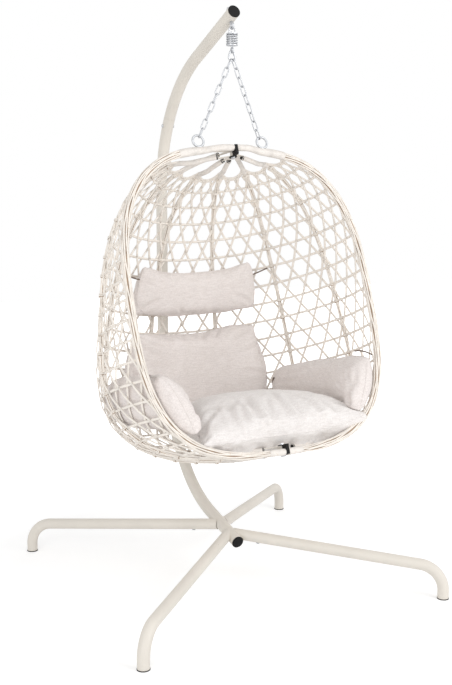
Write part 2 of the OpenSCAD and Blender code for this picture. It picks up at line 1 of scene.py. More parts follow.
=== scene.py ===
"""Looks of the hanging egg chair, built around its packed frame.

Everything is in metres in the frame of the model: the origin is on the ground at the middle
of the footprint, +Z is up, and the sitter looks along -Y.
"""

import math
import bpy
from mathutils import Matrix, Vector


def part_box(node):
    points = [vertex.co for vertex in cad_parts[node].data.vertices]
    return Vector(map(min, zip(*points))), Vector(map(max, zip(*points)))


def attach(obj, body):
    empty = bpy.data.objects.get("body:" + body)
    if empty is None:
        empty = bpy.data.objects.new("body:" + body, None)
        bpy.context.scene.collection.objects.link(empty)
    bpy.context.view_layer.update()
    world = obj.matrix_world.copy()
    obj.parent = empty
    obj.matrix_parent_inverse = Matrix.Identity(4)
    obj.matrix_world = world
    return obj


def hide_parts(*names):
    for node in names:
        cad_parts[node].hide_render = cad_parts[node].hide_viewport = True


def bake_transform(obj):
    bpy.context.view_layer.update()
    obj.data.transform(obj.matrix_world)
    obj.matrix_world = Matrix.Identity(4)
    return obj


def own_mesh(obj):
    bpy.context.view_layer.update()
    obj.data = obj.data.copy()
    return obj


bl_info = {
    "name": "Hanging egg chair",
    "version": (1, 0, 0),
    "blender": (4, 5, 0),
    "location": "3D View > Sidebar > Egg chair",
    "description": "Cane basket, cushions, steel stand and studio of a hanging egg chair",
    "category": "Add Mesh",
}

import bpy
import numpy as np
from bpy.props import FloatProperty, FloatVectorProperty, IntProperty, PointerProperty
from mathutils import Vector, noise
from mathutils.bvhtree import BVHTree

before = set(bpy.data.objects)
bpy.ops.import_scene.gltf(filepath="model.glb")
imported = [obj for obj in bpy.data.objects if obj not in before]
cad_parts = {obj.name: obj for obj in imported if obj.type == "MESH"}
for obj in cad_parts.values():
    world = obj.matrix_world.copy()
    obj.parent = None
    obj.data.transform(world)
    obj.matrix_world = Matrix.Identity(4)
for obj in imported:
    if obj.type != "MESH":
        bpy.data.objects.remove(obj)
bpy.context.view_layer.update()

# ---- Places fixed by the frame ---------------------------------------------------------
# u runs from 0 to 1 along a member, s from 0 at the top pin to 1 at the bottom one, and phi
# is an angle round the hinge axis, 0 at the back
HINGE_TOP = np.array([0.0, -0.050, 1.488])
TOP_POWER, LOW_POWER = 2.75, 3.15
BULGE_DROP, BULGE_FULL = 2.6, 0.45
RIB_STEP = math.pi / 7
LEVEL_STEP, LEVEL_MEET, LEVEL_SOFT = 0.008, 0.130, 0.080
RIM_FRONT, RIM_BEND, RIM_MEET = 0.024, 0.040, 0.120
RIM_END, RIB_END = 0.020, 0.0145
MEMBER_THIN, MEMBER_SOFT, MEMBER_STEP = 0.070, 0.090, 0.009
RIB_END_U, RIM_END_U = 0.037, 0.0043
SIDES = {"left": -1, "right": 1}
RIM = 4  # members 1 to 3 of a side are its ribs, from the back, and 4 is its rim half


# ---- Sizes and colours a user may change --------------------------------------------------
def length(name, description, default, low=0.0, high=3.0):
    return FloatProperty(name=name, description=description, default=default, min=low,
                         max=high, subtype="DISTANCE", unit="LENGTH", precision=4)


def amount(name, description, default, low=0.0, high=1000.0):
    return FloatProperty(name=name, description=description, default=default, min=low,
                         max=high)


def angle(name, description, degrees):
    return FloatProperty(name=name, description=description, default=math.radians(degrees),
                         subtype="ANGLE")


def colour(name, description, default):
    return FloatVectorProperty(name=name, description=description, default=default,
                               subtype="COLOR_GAMMA", size=3, min=0.0, max=1.0)


class BasketSizes(bpy.types.PropertyGroup):
    """The egg's form and its cane work"""

    axis_length: length("Axis length", "From the top hinge pin to the bottom one", 1.012)
    axis_tilt: angle("Axis tilt", "Lean of the hinge axis", 20)
    half_width: length("Half width", "Half the width of the rim", 0.440)
    back_bulge: length("Back bulge", "How far the back goes beyond a half round", 0.204)
    rim: length("Rim", "Thickness of the bound rim", 0.0265)
    rib: length("Rib", "Thickness of a bound rib", 0.015)
    strand: length("Strand", "Width of a woven cane", 0.0092)
    strand_flat: amount("Strand flatness", "Thickness of a woven cane as a share of its width",
                        0.50, 0.3, 1.0)
    cane: length("Bundle cane", "Thickness of one cane in a rim or rib bundle", 0.0048)
    row_gap: length("Row gap", "Distance between two level rows of the weave", 0.064)
    first_row: length("First row", "Distance of the first row from the top pin", 0.220)
    cells: IntProperty(name="Cells", description="Openings across the space between two ribs",
                       default=3, min=1, max=6)


class CushionSizes(bpy.types.PropertyGroup):
    """The stuffing and sewing of the five cushions"""

    pressure: amount("Pressure", "Push of the filling on the cover", 3.2, 0.0, 20.0)
    ease: amount("Ease", "Share by which the cover is too large", 0.06, 0.0, 0.2)
    voxel: length("Cover grid", "Size of one face of the cover while it is filled", 0.0065)
    piping: length("Piping", "Thickness of the sewn edge", 0.0042)


class ChairColours(bpy.types.PropertyGroup):
    """The finishes"""

    steel: colour("Powder coat", "Stand tubes", (0.865, 0.842, 0.806))
    cane: colour("Cane", "Rims, ribs and weave", (0.948, 0.922, 0.890))
    # painted shade: dark cane for the core seen in the gaps of a bundle and for one turn of each
    # knot
    cane_painted_shade: colour("Painted cane shade", "Canes in the shade of a bundle", (0.640, 0.545, 0.460))
    cane_bound: colour("Bound cane", "Tight bindings at the ends of rims and ribs",
                       (0.905, 0.882, 0.858))
    linen: colour("Linen", "Back, head and arm cushions", (0.925, 0.898, 0.886))
    linen_seat: colour("Seat linen", "Seat cushion", (0.940, 0.925, 0.917))
    tape: colour("Tape", "Cushion ties", (0.500, 0.440, 0.400))
    zinc: colour("Zinc", "Chains, spring and bolts", (0.790, 0.797, 0.810))
    black: colour("Black plastic", "Caps and hinge brackets", (0.040, 0.036, 0.038))


class StudioSettings(bpy.types.PropertyGroup):
    """Camera and lights"""

    camera: FloatVectorProperty(name="Camera", description="Place of the camera", size=3,
                                default=(-1.5814, -3.0258, 1.3524), subtype="XYZ",
                                unit="LENGTH")
    azimuth: angle("Azimuth", "Turn of the camera about Z", -27.57)
    dip: angle("Dip", "How far the camera looks down", 8.46)
    lens: FloatProperty(name="Lens", description="Focal length", default=52.37,
                        subtype="DISTANCE_CAMERA")
    key: amount("Key light", "Power of the key light", 74.0)
    fill: amount("Fill light", "Power of the fill light", 48.0)
    sky: amount("Sky", "Strength of the even light", 0.70)


# ---- Colour and material helpers -----------------------------------------------------------
def linear(rgb, scale=1.0):
    """A colour as it is seen, turned into the light values that nodes use"""
    out = [c / 12.92 if c <= 0.04045 else ((c + 0.055) / 1.055) ** 2.4 for c in rgb]
    return (*[min(1.0, c * scale) for c in out], 1.0)


class Nodes:
    """Short names for building one material"""

    def __init__(self, name):
        self.material = bpy.data.materials.new(name)
        self.material.use_nodes = True
        self.tree = self.material.node_tree
        self.shader = self.tree.nodes["Principled BSDF"]
        self.place = self.add("ShaderNodeTexCoord").outputs["Object"]

    def add(self, kind, **values):
        node = self.tree.nodes.new(kind)
        for key, value in values.items():
            setattr(node, key, value)
        return node

    def link(self, out, into):
        self.tree.links.new(out, into)

    def feed(self, out, name):
        self.link(out, self.shader.inputs[name])

    def stretch(self, scale):
        node = self.add("ShaderNodeMapping")
        node.inputs["Scale"].default_value = scale
        self.link(self.place, node.inputs["Vector"])
        return node.outputs["Vector"]

    def noise(self, scale, detail=3.0, rough=0.5, vector=None):
        node = self.add("ShaderNodeTexNoise")
        node.inputs["Scale"].default_value = scale
        node.inputs["Detail"].default_value = detail
        node.inputs["Roughness"].default_value = rough
        self.link(vector or self.place, node.inputs["Vector"])
        return node.outputs["Fac"]

    def ramp(self, fac, stops):
        node = self.add("ShaderNodeValToRGB")
        ramp = node.color_ramp
        while len(ramp.elements) < len(stops):
            ramp.elements.new(0.5)
        for element, (at, tone) in zip(ramp.elements, stops):
            element.position = at
            element.color = tone
        self.link(fac, node.inputs["Fac"])
        return node.outputs["Color"]

    def tones(self, fac, tone, *stops):
        """A ramp over darker and lighter kinds of one tone"""
        return self.ramp(fac, [(at, linear(tone, scale)) for at, scale in stops])

    def greys(self, fac, *stops):
        """A ramp over plain values"""
        return self.ramp(fac, [(at, (value, value, value, 1.0)) for at, value in stops])

    def mix(self, fac, a, b, kind="MIX"):
        node = self.add("ShaderNodeMix", data_type="RGBA", blend_type=kind)
        for socket, value in ((node.inputs[0], fac), (node.inputs[6], a), (node.inputs[7], b)):
            if isinstance(value, (float, tuple)):
                socket.default_value = value
            else:
                self.link(value, socket)
        return node.outputs[2]

    def add_heights(self, *parts):
        total = None
        for fac, weight in parts:
            node = self.add("ShaderNodeMath", operation="MULTIPLY_ADD")
            self.link(fac, node.inputs[0])
            node.inputs[1].default_value = weight
            if total is None:
                node.inputs[2].default_value = 0.0
            else:
                self.link(total, node.inputs[2])
            total = node.outputs[0]
        return total

    def bump(self, height, strength, distance):
        node = self.add("ShaderNodeBump")
        node.inputs["Strength"].default_value = strength
        node.inputs["Distance"].default_value = distance
        self.link(height, node.inputs["Height"])
        self.feed(node.outputs["Normal"], "Normal")

    def set(self, **values):
        for key, value in values.items():
            self.shader.inputs[key.replace("_", " ")].default_value = value


def powder_coat():
    """Baked powder paint: fine orange peel, tone a little uneven along the tubes"""
    tone = bpy.context.scene.chair_colours.steel
    n = Nodes("baked_powder_coat")
    cloud = n.noise(7.0, 3.0)
    peel = n.noise(900.0, 2.0)
    n.feed(n.tones(cloud, tone, (0.30, 0.955), (0.70, 1.03)), "Base Color")
    n.feed(n.greys(peel, (0.2, 0.40), (0.8, 0.52)), "Roughness")
    n.bump(n.add_heights((peel, 1.0), (n.noise(260.0, 2.0), 0.8)), 0.2, 0.00005)
    n.set(Specular_IOR_Level=0.42)
    return n.material


def cane_finish(name, tone, low=0.86):
    """Round resin cane: streaks along it, warmer flecks scattered at random, faint sheen"""
    n = Nodes(name)
    patch = n.noise(38.0, 4.0, 0.6)
    streak = n.noise(420.0, 3.0, 0.65)
    base = n.tones(patch, tone, (0.28, low), (0.52, 0.97), (0.75, 1.04))
    warm = tuple(c * share for c, share in zip(linear(tone), (0.80, 0.72, 0.62, 1.0)))
    flecks = n.greys(n.noise(150.0, 2.0), (0.60, 0.0), (0.74, 0.55))
    n.feed(n.mix(flecks, base, warm), "Base Color")
    n.feed(n.greys(streak, (0.3, 0.46), (0.7, 0.64)), "Roughness")
    n.bump(n.add_heights((streak, 1.0), (patch, 0.5)), 0.6, 0.00016)
    n.set(Specular_IOR_Level=0.35)
    return n.material


def linen_finish(name, tone, along="X"):
    """Slubbed linen blend: crossed threads, thicker slubs, soft nap.  The threads run level
    along X or Y, and upright"""
    def turned(x, y, z):
        return n.stretch((x, y, z) if along == "X" else (y, x, z))
    n = Nodes(name)
    warp = n.noise(1.0, 2.0, 0.6, turned(1500.0, 210.0, 150.0))
    weft = n.noise(1.0, 2.0, 0.6, turned(170.0, 700.0, 1500.0))
    slub = n.noise(1.0, 3.0, 0.6, turned(60.0, 220.0, 420.0))
    heather = n.noise(1.0, 3.0, 0.7, turned(34.0, 150.0, 260.0))
    cloud = n.noise(9.0, 3.0)
    threads = n.mix(0.5, *[n.tones(way, tone, (0.36, 0.82), (0.64, 1.10))
                           for way in (warp, weft)])
    cloth = n.mix(n.greys(slub, (0.56, 0.0), (0.74, 0.40)), threads, linear(tone, 0.82))
    shade = n.ramp(cloud, [(0.3, (0.955, 0.95, 0.945, 1)), (0.7, (1, 1, 1, 1))])
    mottle = n.ramp(heather, [(0.34, (0.90, 0.885, 0.875, 1)), (0.62, (1, 1, 1, 1))])
    n.feed(n.mix(1.0, n.mix(1.0, cloth, shade, "MULTIPLY"), mottle, "MULTIPLY"), "Base Color")
    n.bump(n.add_heights((warp, 1.0), (weft, 1.0), (slub, 1.4), (heather, 1.2)), 0.8, 0.00035)
    n.set(Roughness=0.92, Specular_IOR_Level=0.18, Sheen_Weight=0.18, Sheen_Roughness=0.5)
    return n.material


def tape_finish():
    """Woven tape with a rib across it"""
    tone = bpy.context.scene.chair_colours.tape
    n = Nodes("woven_tape")
    rib = n.noise(1.0, 2.0, 0.5, n.stretch((700.0, 700.0, 1400.0)))
    n.feed(n.tones(rib, tone, (0.35, 0.72), (0.65, 1.15)), "Base Color")
    n.bump(rib, 0.5, 0.0006)
    n.set(Roughness=0.88, Specular_IOR_Level=0.2)
    return n.material


def zinc_finish():
    """Bright zinc plate, a little cloudy, with fine handling marks"""
    tone = bpy.context.scene.chair_colours.zinc
    n = Nodes("bright_zinc")
    cloud = n.noise(160.0, 4.0, 0.6)
    marks = n.noise(1.0, 3.0, 0.6, n.stretch((300.0, 300.0, 2600.0)))
    n.feed(n.tones(cloud, tone, (0.3, 0.90), (0.7, 1.05)), "Base Color")
    n.feed(n.greys(marks, (0.3, 0.36), (0.7, 0.50)), "Roughness")
    n.bump(n.add_heights((cloud, 1.0), (marks, 0.5)), 0.15, 0.00003)
    n.set(Metallic=0.8)
    return n.material


def plastic_finish():
    """Moulded black plastic with a spark-eroded grain"""
    tone = bpy.context.scene.chair_colours.black
    n = Nodes("moulded_plastic")
    grain = n.noise(1500.0, 2.0)
    n.feed(n.tones(n.noise(60.0, 3.0), tone, (0.3, 0.8), (0.7, 1.5)), "Base Color")
    n.feed(n.greys(grain, (0.3, 0.62), (0.7, 0.76)), "Roughness")
    n.bump(grain, 0.3, 0.00008)
    n.set(Specular_IOR_Level=0.3)
    return n.material


def finish(name):
    """One of the chair's materials, made when it is first asked for"""
    made = bpy.data.materials.get(name)
    if made:
        return made
    tones = bpy.context.scene.chair_colours
    makers = {
        "baked_powder_coat": powder_coat,
        "round_cane": lambda: cane_finish(name, tones.cane),
        "shaded_cane": lambda: cane_finish(name, tones.cane_painted_shade, 0.6),
        "bound_cane": lambda: cane_finish(name, tones.cane_bound, 0.80),
        "slubbed_linen": lambda: linen_finish(name, tones.linen),
        "side_linen": lambda: linen_finish(name, tones.linen, "Y"),
        "seat_linen": lambda: linen_finish(name, tones.linen_seat),
        "woven_tape": tape_finish,
        "bright_zinc": zinc_finish,
        "moulded_plastic": plastic_finish,
    }
    return makers[name]()


def paint(name, *nodes):
    """Gives nodes of the frame their finish"""
    for node in nodes:
        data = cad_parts[node].data
        data.materials.clear()
        data.materials.append(finish(name))


# ---- Form of the basket --------------------------------------------------------------------
def smooth(x):
    """A soft step from 0 to 1"""
    c = np.clip(x, 0.0, 1.0)
    return c * c * (3 - 2 * c)


def unit(vectors):
    """Vectors at length one"""
    return vectors / (np.linalg.norm(vectors, axis=-1)[..., None] + 1e-12)


def reach(phi, s):
    """Distance of the shell from the hinge axis"""
    b = bpy.context.scene.basket_sizes
    s = np.asarray(s, float)
    power = np.where(s < 0.5, TOP_POWER, LOW_POWER)
    width = b.half_width * np.maximum(1 - np.abs(2 * s - 1) ** power, 0) ** (1 / 3)
    swing = np.maximum(np.sin(math.pi * s ** BULGE_DROP), 0) ** BULGE_FULL
    bulge = b.back_bulge * swing * np.cos(phi)
    return bulge + np.sqrt(width * width + bulge * bulge)


def shell(phi, s, inset=0.0, level=0.0):
    """Points of the shell in the basket's own frame"""
    b = bpy.context.scene.basket_sizes
    phi, s, inset, level = np.broadcast_arrays(*[np.asarray(v, float)
                                                 for v in (phi, s, inset, level)])
    r = reach(phi, s) - inset
    return np.stack([r * np.sin(phi), r * np.cos(phi), -b.axis_length * s + level], -1)


def outward(phi, s):
    """Unit normals of the shell, away from the hinge axis"""
    phi, s = np.broadcast_arrays(np.asarray(phi, float), np.asarray(s, float))
    round_it = shell(phi + 0.001, s) - shell(phi - 0.001, s)
    down_it = shell(phi, np.minimum(s + 0.001, 1)) - shell(phi, np.maximum(s - 0.001, 0))
    return unit(np.cross(down_it, round_it))


def in_chair(points):
    """Points from the basket's frame to the chair's"""
    tilt = bpy.context.scene.basket_sizes.axis_tilt
    p = np.asarray(points, float)
    y = p[..., 1] * math.cos(tilt) + p[..., 2] * math.sin(tilt)
    z = -p[..., 1] * math.sin(tilt) + p[..., 2] * math.cos(tilt)
    return np.stack([p[..., 0], y, z], -1) + HINGE_TOP


def member_angle(side, number):
    """Where a member stands round the axis"""
    return side * (math.pi / 2 if number == RIM else (number - 0.5) * RIB_STEP)


def distances(points):
    """How far along a line each of its points is"""
    return np.concatenate([[0], np.cumsum(np.linalg.norm(np.diff(points, axis=0), axis=1))])


def along(line, gone, at):
    """The points of a line, or its directions, at distances along it"""
    return np.stack([np.interp(at, gone, column) for column in line.T], -1)


def even(points, *others, step):
    """Points at even distances along a line, with values that go with them"""
    gone = distances(points)
    count = max(2, int(round(gone[-1] / step)) + 1)
    at = np.linspace(0, gone[-1], count)
    return (along(points, gone, at), at, *[np.interp(at, gone, o) for o in others])


def crosswise(run, across):
    """Two unit vectors square to each direction of a run, the first square to across too"""
    a = unit(np.cross(run, np.broadcast_to(across, run.shape)))
    return a, np.cross(a, run)


def wound(line, radius, turn, a, b):
    """A line that runs round another one"""
    return line + (radius * np.cos(turn))[:, None] * a + (radius * np.sin(turn))[:, None] * b


def level_across(phi):
    """The level direction along the shell, a hair off level so that no run is parallel"""
    return (math.cos(phi), -math.sin(phi), 0.0001)


def member_line(side, number):
    """Centre line of a member from its top end down: points, distance, radius and share s"""
    phi = member_angle(side, number)
    u0 = RIM_END_U if number == RIM else RIB_END_U
    u = u0 + (1 - 2 * u0) * np.linspace(0, 1, 1500)
    # points crowd at both ends, where the shell turns towards the pins
    t = 0.5 * (2 * np.minimum(u, 1 - u)) ** 1.5
    s = (1 - np.cos(math.pi * np.where(u < 0.5, t, 1 - t))) / 2
    r = reach(phi, s)
    # ribs 1 and 3 leave their plane near the pins, where their tabs lie on other levels
    levels_down = 0 if number % 2 == 0 else -2
    near_pin = 1 - smooth((r - LEVEL_MEET) / LEVEL_SOFT)
    level = levels_down * LEVEL_STEP * near_pin * np.where(s < 0.5, 1, -1)
    points = shell(phi, s, 0, level)
    if number == RIM:
        points[:, 1] -= RIM_FRONT * (1 - smooth((r - RIM_BEND) / (RIM_MEET - RIM_BEND)))
    return even(points, r, s, step=MEMBER_STEP)


def member_thickness(number, radius):
    """Diameter of a member at its distance from the axis"""
    b = bpy.context.scene.basket_sizes
    full, end = (b.rim, RIM_END) if number == RIM else (b.rib, RIB_END)
    return end + (full - end) * smooth((radius - MEMBER_THIN) / MEMBER_SOFT)


# ---- Mesh helpers --------------------------------------------------------------------------
def added(name, data):
    """A new object in the scene"""
    made = bpy.data.objects.new(name, data)
    bpy.context.scene.collection.objects.link(made)
    return made


def corners_of(data):
    """Where the vertices of a mesh are"""
    return np.array([v.co for v in data.vertices], float)


def move_to(data, points):
    """Puts the vertices of a mesh in new places"""
    data.vertices.foreach_set("co", np.asarray(points, float).ravel())
    data.update()


class Body:
    """Collects tubes and faces into one mesh"""

    def __init__(self, name, *finishes):
        self.name, self.finishes = name, finishes
        self.points, self.faces, self.slots, self.count = [], [], [], 0

    def add(self, points, faces, slot=0):
        self.points.append(np.asarray(points, float).reshape(-1, 3))
        self.faces += [[i + self.count for i in f] for f in faces]
        self.slots += [slot] * len(faces)
        self.count += len(self.points[-1])

    def tube(self, line, radius, sides, across=(0, 0, 1), slot=0, flat=1.0, closed=False):
        """A tube of round or flattened section; radius may change along and round it"""
        line = np.asarray(line, float)
        n = len(line)
        run = np.roll(line, -1, 0) - np.roll(line, 1, 0) if closed \
            else np.gradient(line, axis=0)
        a, b = crosswise(unit(run), across)
        turn = 2 * math.pi * (np.arange(sides) + 0.5) / sides
        radius = np.broadcast_to(np.asarray(radius, float).reshape(-1, 1)
                                 if np.ndim(radius) < 2 else radius, (n, sides))
        ring = (radius * np.cos(turn))[..., None] * a[:, None] \
            + (flat * radius * np.sin(turn))[..., None] * b[:, None]
        faces = []
        for i in range(n if closed else n - 1):
            c, e = i * sides, (i + 1) % n * sides
            faces += [[c + k, c + (k + 1) % sides, e + (k + 1) % sides, e + k]
                      for k in range(sides)]
        if not closed:
            faces += [list(range(sides))[::-1], list(range((n - 1) * sides, n * sides))]
        self.add(line[:, None] + ring, faces, slot)

    def make(self, tilted=True):
        """The finished object; tilted bodies were laid out in the basket's frame"""
        points = np.concatenate(self.points)
        data = bpy.data.meshes.new(self.name)
        data.from_pydata(in_chair(points) if tilted else points, [], self.faces)
        for name in self.finishes:
            data.materials.append(finish(name))
        data.polygons.foreach_set("material_index", self.slots)
        data.shade_smooth()
        data.update()
        return added(self.name, data)


def place(made, body, slot, *nodes):
    """Puts a piece on its body, in the stead of nodes of the frame; slot is not used"""
    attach(made, body)
    if nodes:
        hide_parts(*nodes)
    return made


# ---- Rims and ribs -------------------------------------------------------------------------
RIM_CANES, RIM_LAY, RIM_CANE_SHARE = 11, 1.9, 1.08
RIB_CANES, RIB_LAY, RIB_CANE_SHARE = 7, 1.1, 0.92
BINDING_PITCH, BINDING_RIDGE, BINDING_SIDES = 0.0046, 0.0007, 14
BINDING_GAP, RIM_BINDING_FOOT = 0.018, 0.120
BINDING_SINK, BINDING_TUCK_FREE, BINDING_TUCK_SOFT = 0.0002, 0.001, 0.006
# each winding round a rib: its slot, its start from the row, its thickness as a share of a
# woven cane, and its turns
# the winding in slot 1 is a dark turn of painted shade beside the light turns
WINDS = ((0, -0.0062, 0.50, 2.1), (1, 0.0020, 0.28, 1.1))
WIND_STEPS, WIND_PITCH, WIND_LIFT = 12, 1.05, 0.22
# where a sleeve's rings lie from the end of its rib, and how wide they are against it
SLEEVE_PLACES = np.array([-0.001, 0.0, 0.002, 0.006, 0.0075, 0.008])
SLEEVE_WIDTHS = np.array([0.42, 0.90, 1.10, 1.13, 1.10, 0.98])
SLEEVE_CAP = 0.001
CORE_SINK = 0.62
ROW_LINE, ROWS_END = math.radians(64.3), 0.75
RING_INSET, RING_RADIUS, RING_WINDS, RING_GROOVE = 0.0035, 0.0041, 21, 0.0003


def row_shares():
    """Shares s of the level rows: even distances along the third rib's line"""
    b = bpy.context.scene.basket_sizes
    s = np.linspace(1e-6, 1 - 1e-6, 6000)
    line = shell(ROW_LINE, s)
    gone = distances(line) + np.hypot(line[0, 0], line[0, 1])
    rows = np.arange(b.first_row, gone[-1] - ROWS_END * b.first_row, b.row_gap)
    return np.interp(rows, gone, s)


def bind(body, line, gone, thick, low, high, across):
    """A tight winding of fine cane along part of a member"""
    at = np.arange(low, high, BINDING_PITCH / 4)
    turn = (np.arange(BINDING_SIDES) + 0.5) / BINDING_SIDES
    ridge = np.abs(np.sin(math.pi * (at[:, None] / BINDING_PITCH + turn[None, :])))
    from_end = np.minimum(at - low, high - at)
    tuck = BINDING_RIDGE * smooth((from_end - BINDING_TUCK_FREE) / BINDING_TUCK_SOFT)
    radius = np.interp(at, gone, thick) / 2 - BINDING_SINK + tuck
    body.tube(along(line, gone, at), radius[:, None] + BINDING_RIDGE * ridge, BINDING_SIDES,
              across, slot=2)


def wave(gone, k, height, every, shift):
    """A slow wave along a member, different for each of its canes k"""
    return height * np.sin(gone / every + shift * k)


def bundle(body, side, number, canes, lay, share_of_cane):
    """A rim or rib as a bundle of long canes with a slow twist, bound tight at both ends"""
    b = bpy.context.scene.basket_sizes
    across = level_across(member_angle(side, number))
    line, gone, radius, share = member_line(side, number)
    thick = member_thickness(number, radius)
    a, c = crosswise(unit(np.gradient(line, axis=0)), across)
    shrink = thick / thick.max()
    cane = b.cane * share_of_cane * shrink
    for k in range(canes):
        # each cane wanders a little round the bundle and in and out of it
        turn = 2 * math.pi * (k / canes + gone / lay) \
            + wave(gone, k, height=0.12, every=0.043, shift=2.4) \
            + wave(gone, k, height=0.09, every=0.017, shift=4.1)
        off = (thick - cane) / 2 + wave(gone, k, height=0.0005, every=0.019, shift=1.7)
        body.tube(wound(line, off, turn, a, c), cane / 2, 6, across)
    # a dark core that shows between the canes: painted shade in the gaps of the bundle
    body.tube(line, thick / 2 - cane * CORE_SINK, 8, across, slot=1)
    # the tight binding runs from each pin to the first row of the weave
    rows = row_shares()
    top_end = np.interp(rows[0], share, gone) - BINDING_GAP
    foot_start = np.interp(rows[-1], share, gone) \
        + (RIM_BINDING_FOOT if number == RIM else BINDING_GAP)
    for low, high in ((0.0, top_end), (foot_start, gone[-1])):
        bind(body, line, gone, thick, low, high, across)
    return line, gone, share, thick


def knots(body, side, number, member, rows):
    """Where each level row is wound round a rib: two light turns and one dark turn of painted
    shade
    """
    b = bpy.context.scene.basket_sizes
    line, gone, share, thick = member
    across = level_across(member_angle(side, number))
    run = unit(np.gradient(line, axis=0))
    for j, s in enumerate(rows):
        centre = np.interp(s, share, gone)
        for slot, start, share_of_strand, turns in WINDS:
            wire = b.strand * share_of_strand
            q = np.linspace(0, turns, int(WIND_STEPS * turns) + 1)
            at = centre + start + q * wire * WIND_PITCH
            forward = along(run, gone, at)
            a, c = crosswise(forward, across)
            r = np.interp(at, gone, thick) / 2 + wire * WIND_LIFT
            path = wound(along(line, gone, at), r, 2 * math.pi * q + 1.9 * j, a, c)
            body.tube(path, wire / 2, 6, forward.mean(0), slot=slot)


def end_sleeves(side, number, member):
    """Black sleeves on the two ends of a rib"""
    line, gone, _, thick = member
    across = level_across(member_angle(side, number))
    body = Body(f"rib_sleeves_{'left' if side < 0 else 'right'}_{number}", "moulded_plastic")
    for at, inward, edge in ((0.0, 1, line[0] - line[1]), (gone[-1], -1, line[-1] - line[-2])):
        points = along(line, gone, at + inward * SLEEVE_PLACES)
        points[0] += unit(edge) * SLEEVE_CAP
        body.tube(points, SLEEVE_WIDTHS * np.interp(at, gone, thick) / 2, 12, across)
    return body.make()


def hang_ring(name):
    """The bright ring that the chain of a side hooks into"""
    tilt = bpy.context.scene.basket_sizes.axis_tilt
    ring = Body(f"hang_ring_loop_{name}", "bright_zinc")
    low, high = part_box(f"hang_ring_{name}")
    middle = np.array((low + high) / 2)
    wide = (high.x - low.x) / 2 - RING_INSET
    w = np.linspace(0, 2 * math.pi, 192, endpoint=False)
    circle = np.stack([np.cos(w), np.sin(w) * math.sin(tilt), np.sin(w) * math.cos(tilt)], -1)
    winds = RING_RADIUS - RING_GROOVE * np.abs(np.cos(w * RING_WINDS))[:, None]
    ring.tube(circle * wide + middle, winds * np.ones((1, 10)), 10,
              (0, math.cos(tilt), -math.sin(tilt)), closed=True)
    return ring.make(tilted=False)


class EGGCHAIR_OT_rims(bpy.types.Operator):
    """Builds the two rim halves as bundles of cane, with the rings the chains hook into"""

    bl_idname = "eggchair.rims"
    bl_label = "Rims"

    def execute(self, context):
        for name, side in SIDES.items():
            body = Body(f"cane_rim_{name}", "round_cane", "shaded_cane", "bound_cane")
            bundle(body, side, RIM, RIM_CANES, RIM_LAY, RIM_CANE_SHARE)
            place(body.make(), f"rim_{name}", "wicker", f"rim_{name}")
            place(hang_ring(name), f"rim_{name}", "wicker", f"hang_ring_{name}")
        return {"FINISHED"}


class EGGCHAIR_OT_ribs(bpy.types.Operator):
    """Builds the six ribs with their knots and black end sleeves"""

    bl_idname = "eggchair.ribs"
    bl_label = "Ribs"

    def execute(self, context):
        for name, side in SIDES.items():
            for number in (1, 2, 3):
                body = Body(f"cane_rib_{name}_{number}", "round_cane", "shaded_cane", "bound_cane")
                member = bundle(body, side, number, RIB_CANES, RIB_LAY, RIB_CANE_SHARE)
                knots(body, side, number, member, row_shares())
                place(body.make(), f"rib_{name}_{number}", "wicker", f"rib_{name}_{number}")
                place(end_sleeves(side, number, member), f"rib_{name}_{number}",
                      "black_plastic")
        return {"FINISHED"}


# ---- Weave ---------------------------------------------------------------------------------
EDGE_TUCK, ROW_INSET = 0.0035, 0.0020
ROW_RISE, ROW_RISE_POWER = 0.010, 2.2
CROSS_LIFT, CROSS_WAVE, CROSS_OVER, CROSS_STEPS = 0.0044, 0.0008, 0.12, 5
BORDER_STEPS = 0.0030, -0.0022  # to the second cane at the first row and at the last one
BANDS = (0, 1, 2, 3, 5, 9, 13, 15, 16, 17, 18)  # rows at which a panel is cut


def panel_angle(side, number, f, s):
    """The angle a share f of the way from a panel's inner member to its outer one"""
    b = bpy.context.scene.basket_sizes
    outer = abs(member_angle(1, number))
    inner = 0.0 if number == 1 else member_angle(1, number - 1)
    r = reach(outer, s)
    edge = np.arcsin(((b.rim if number == RIM else b.rib) / 2 - EDGE_TUCK) / r)
    start = 0.0 if number == 1 else np.arcsin((b.rib / 2 - EDGE_TUCK) / r)
    return side * (inner + start + (outer - edge - inner - start) * f)


def rows_to_s(k, rows):
    """Share s at row number k, which may lie between two rows"""
    return np.interp(k, np.arange(len(rows)), rows)


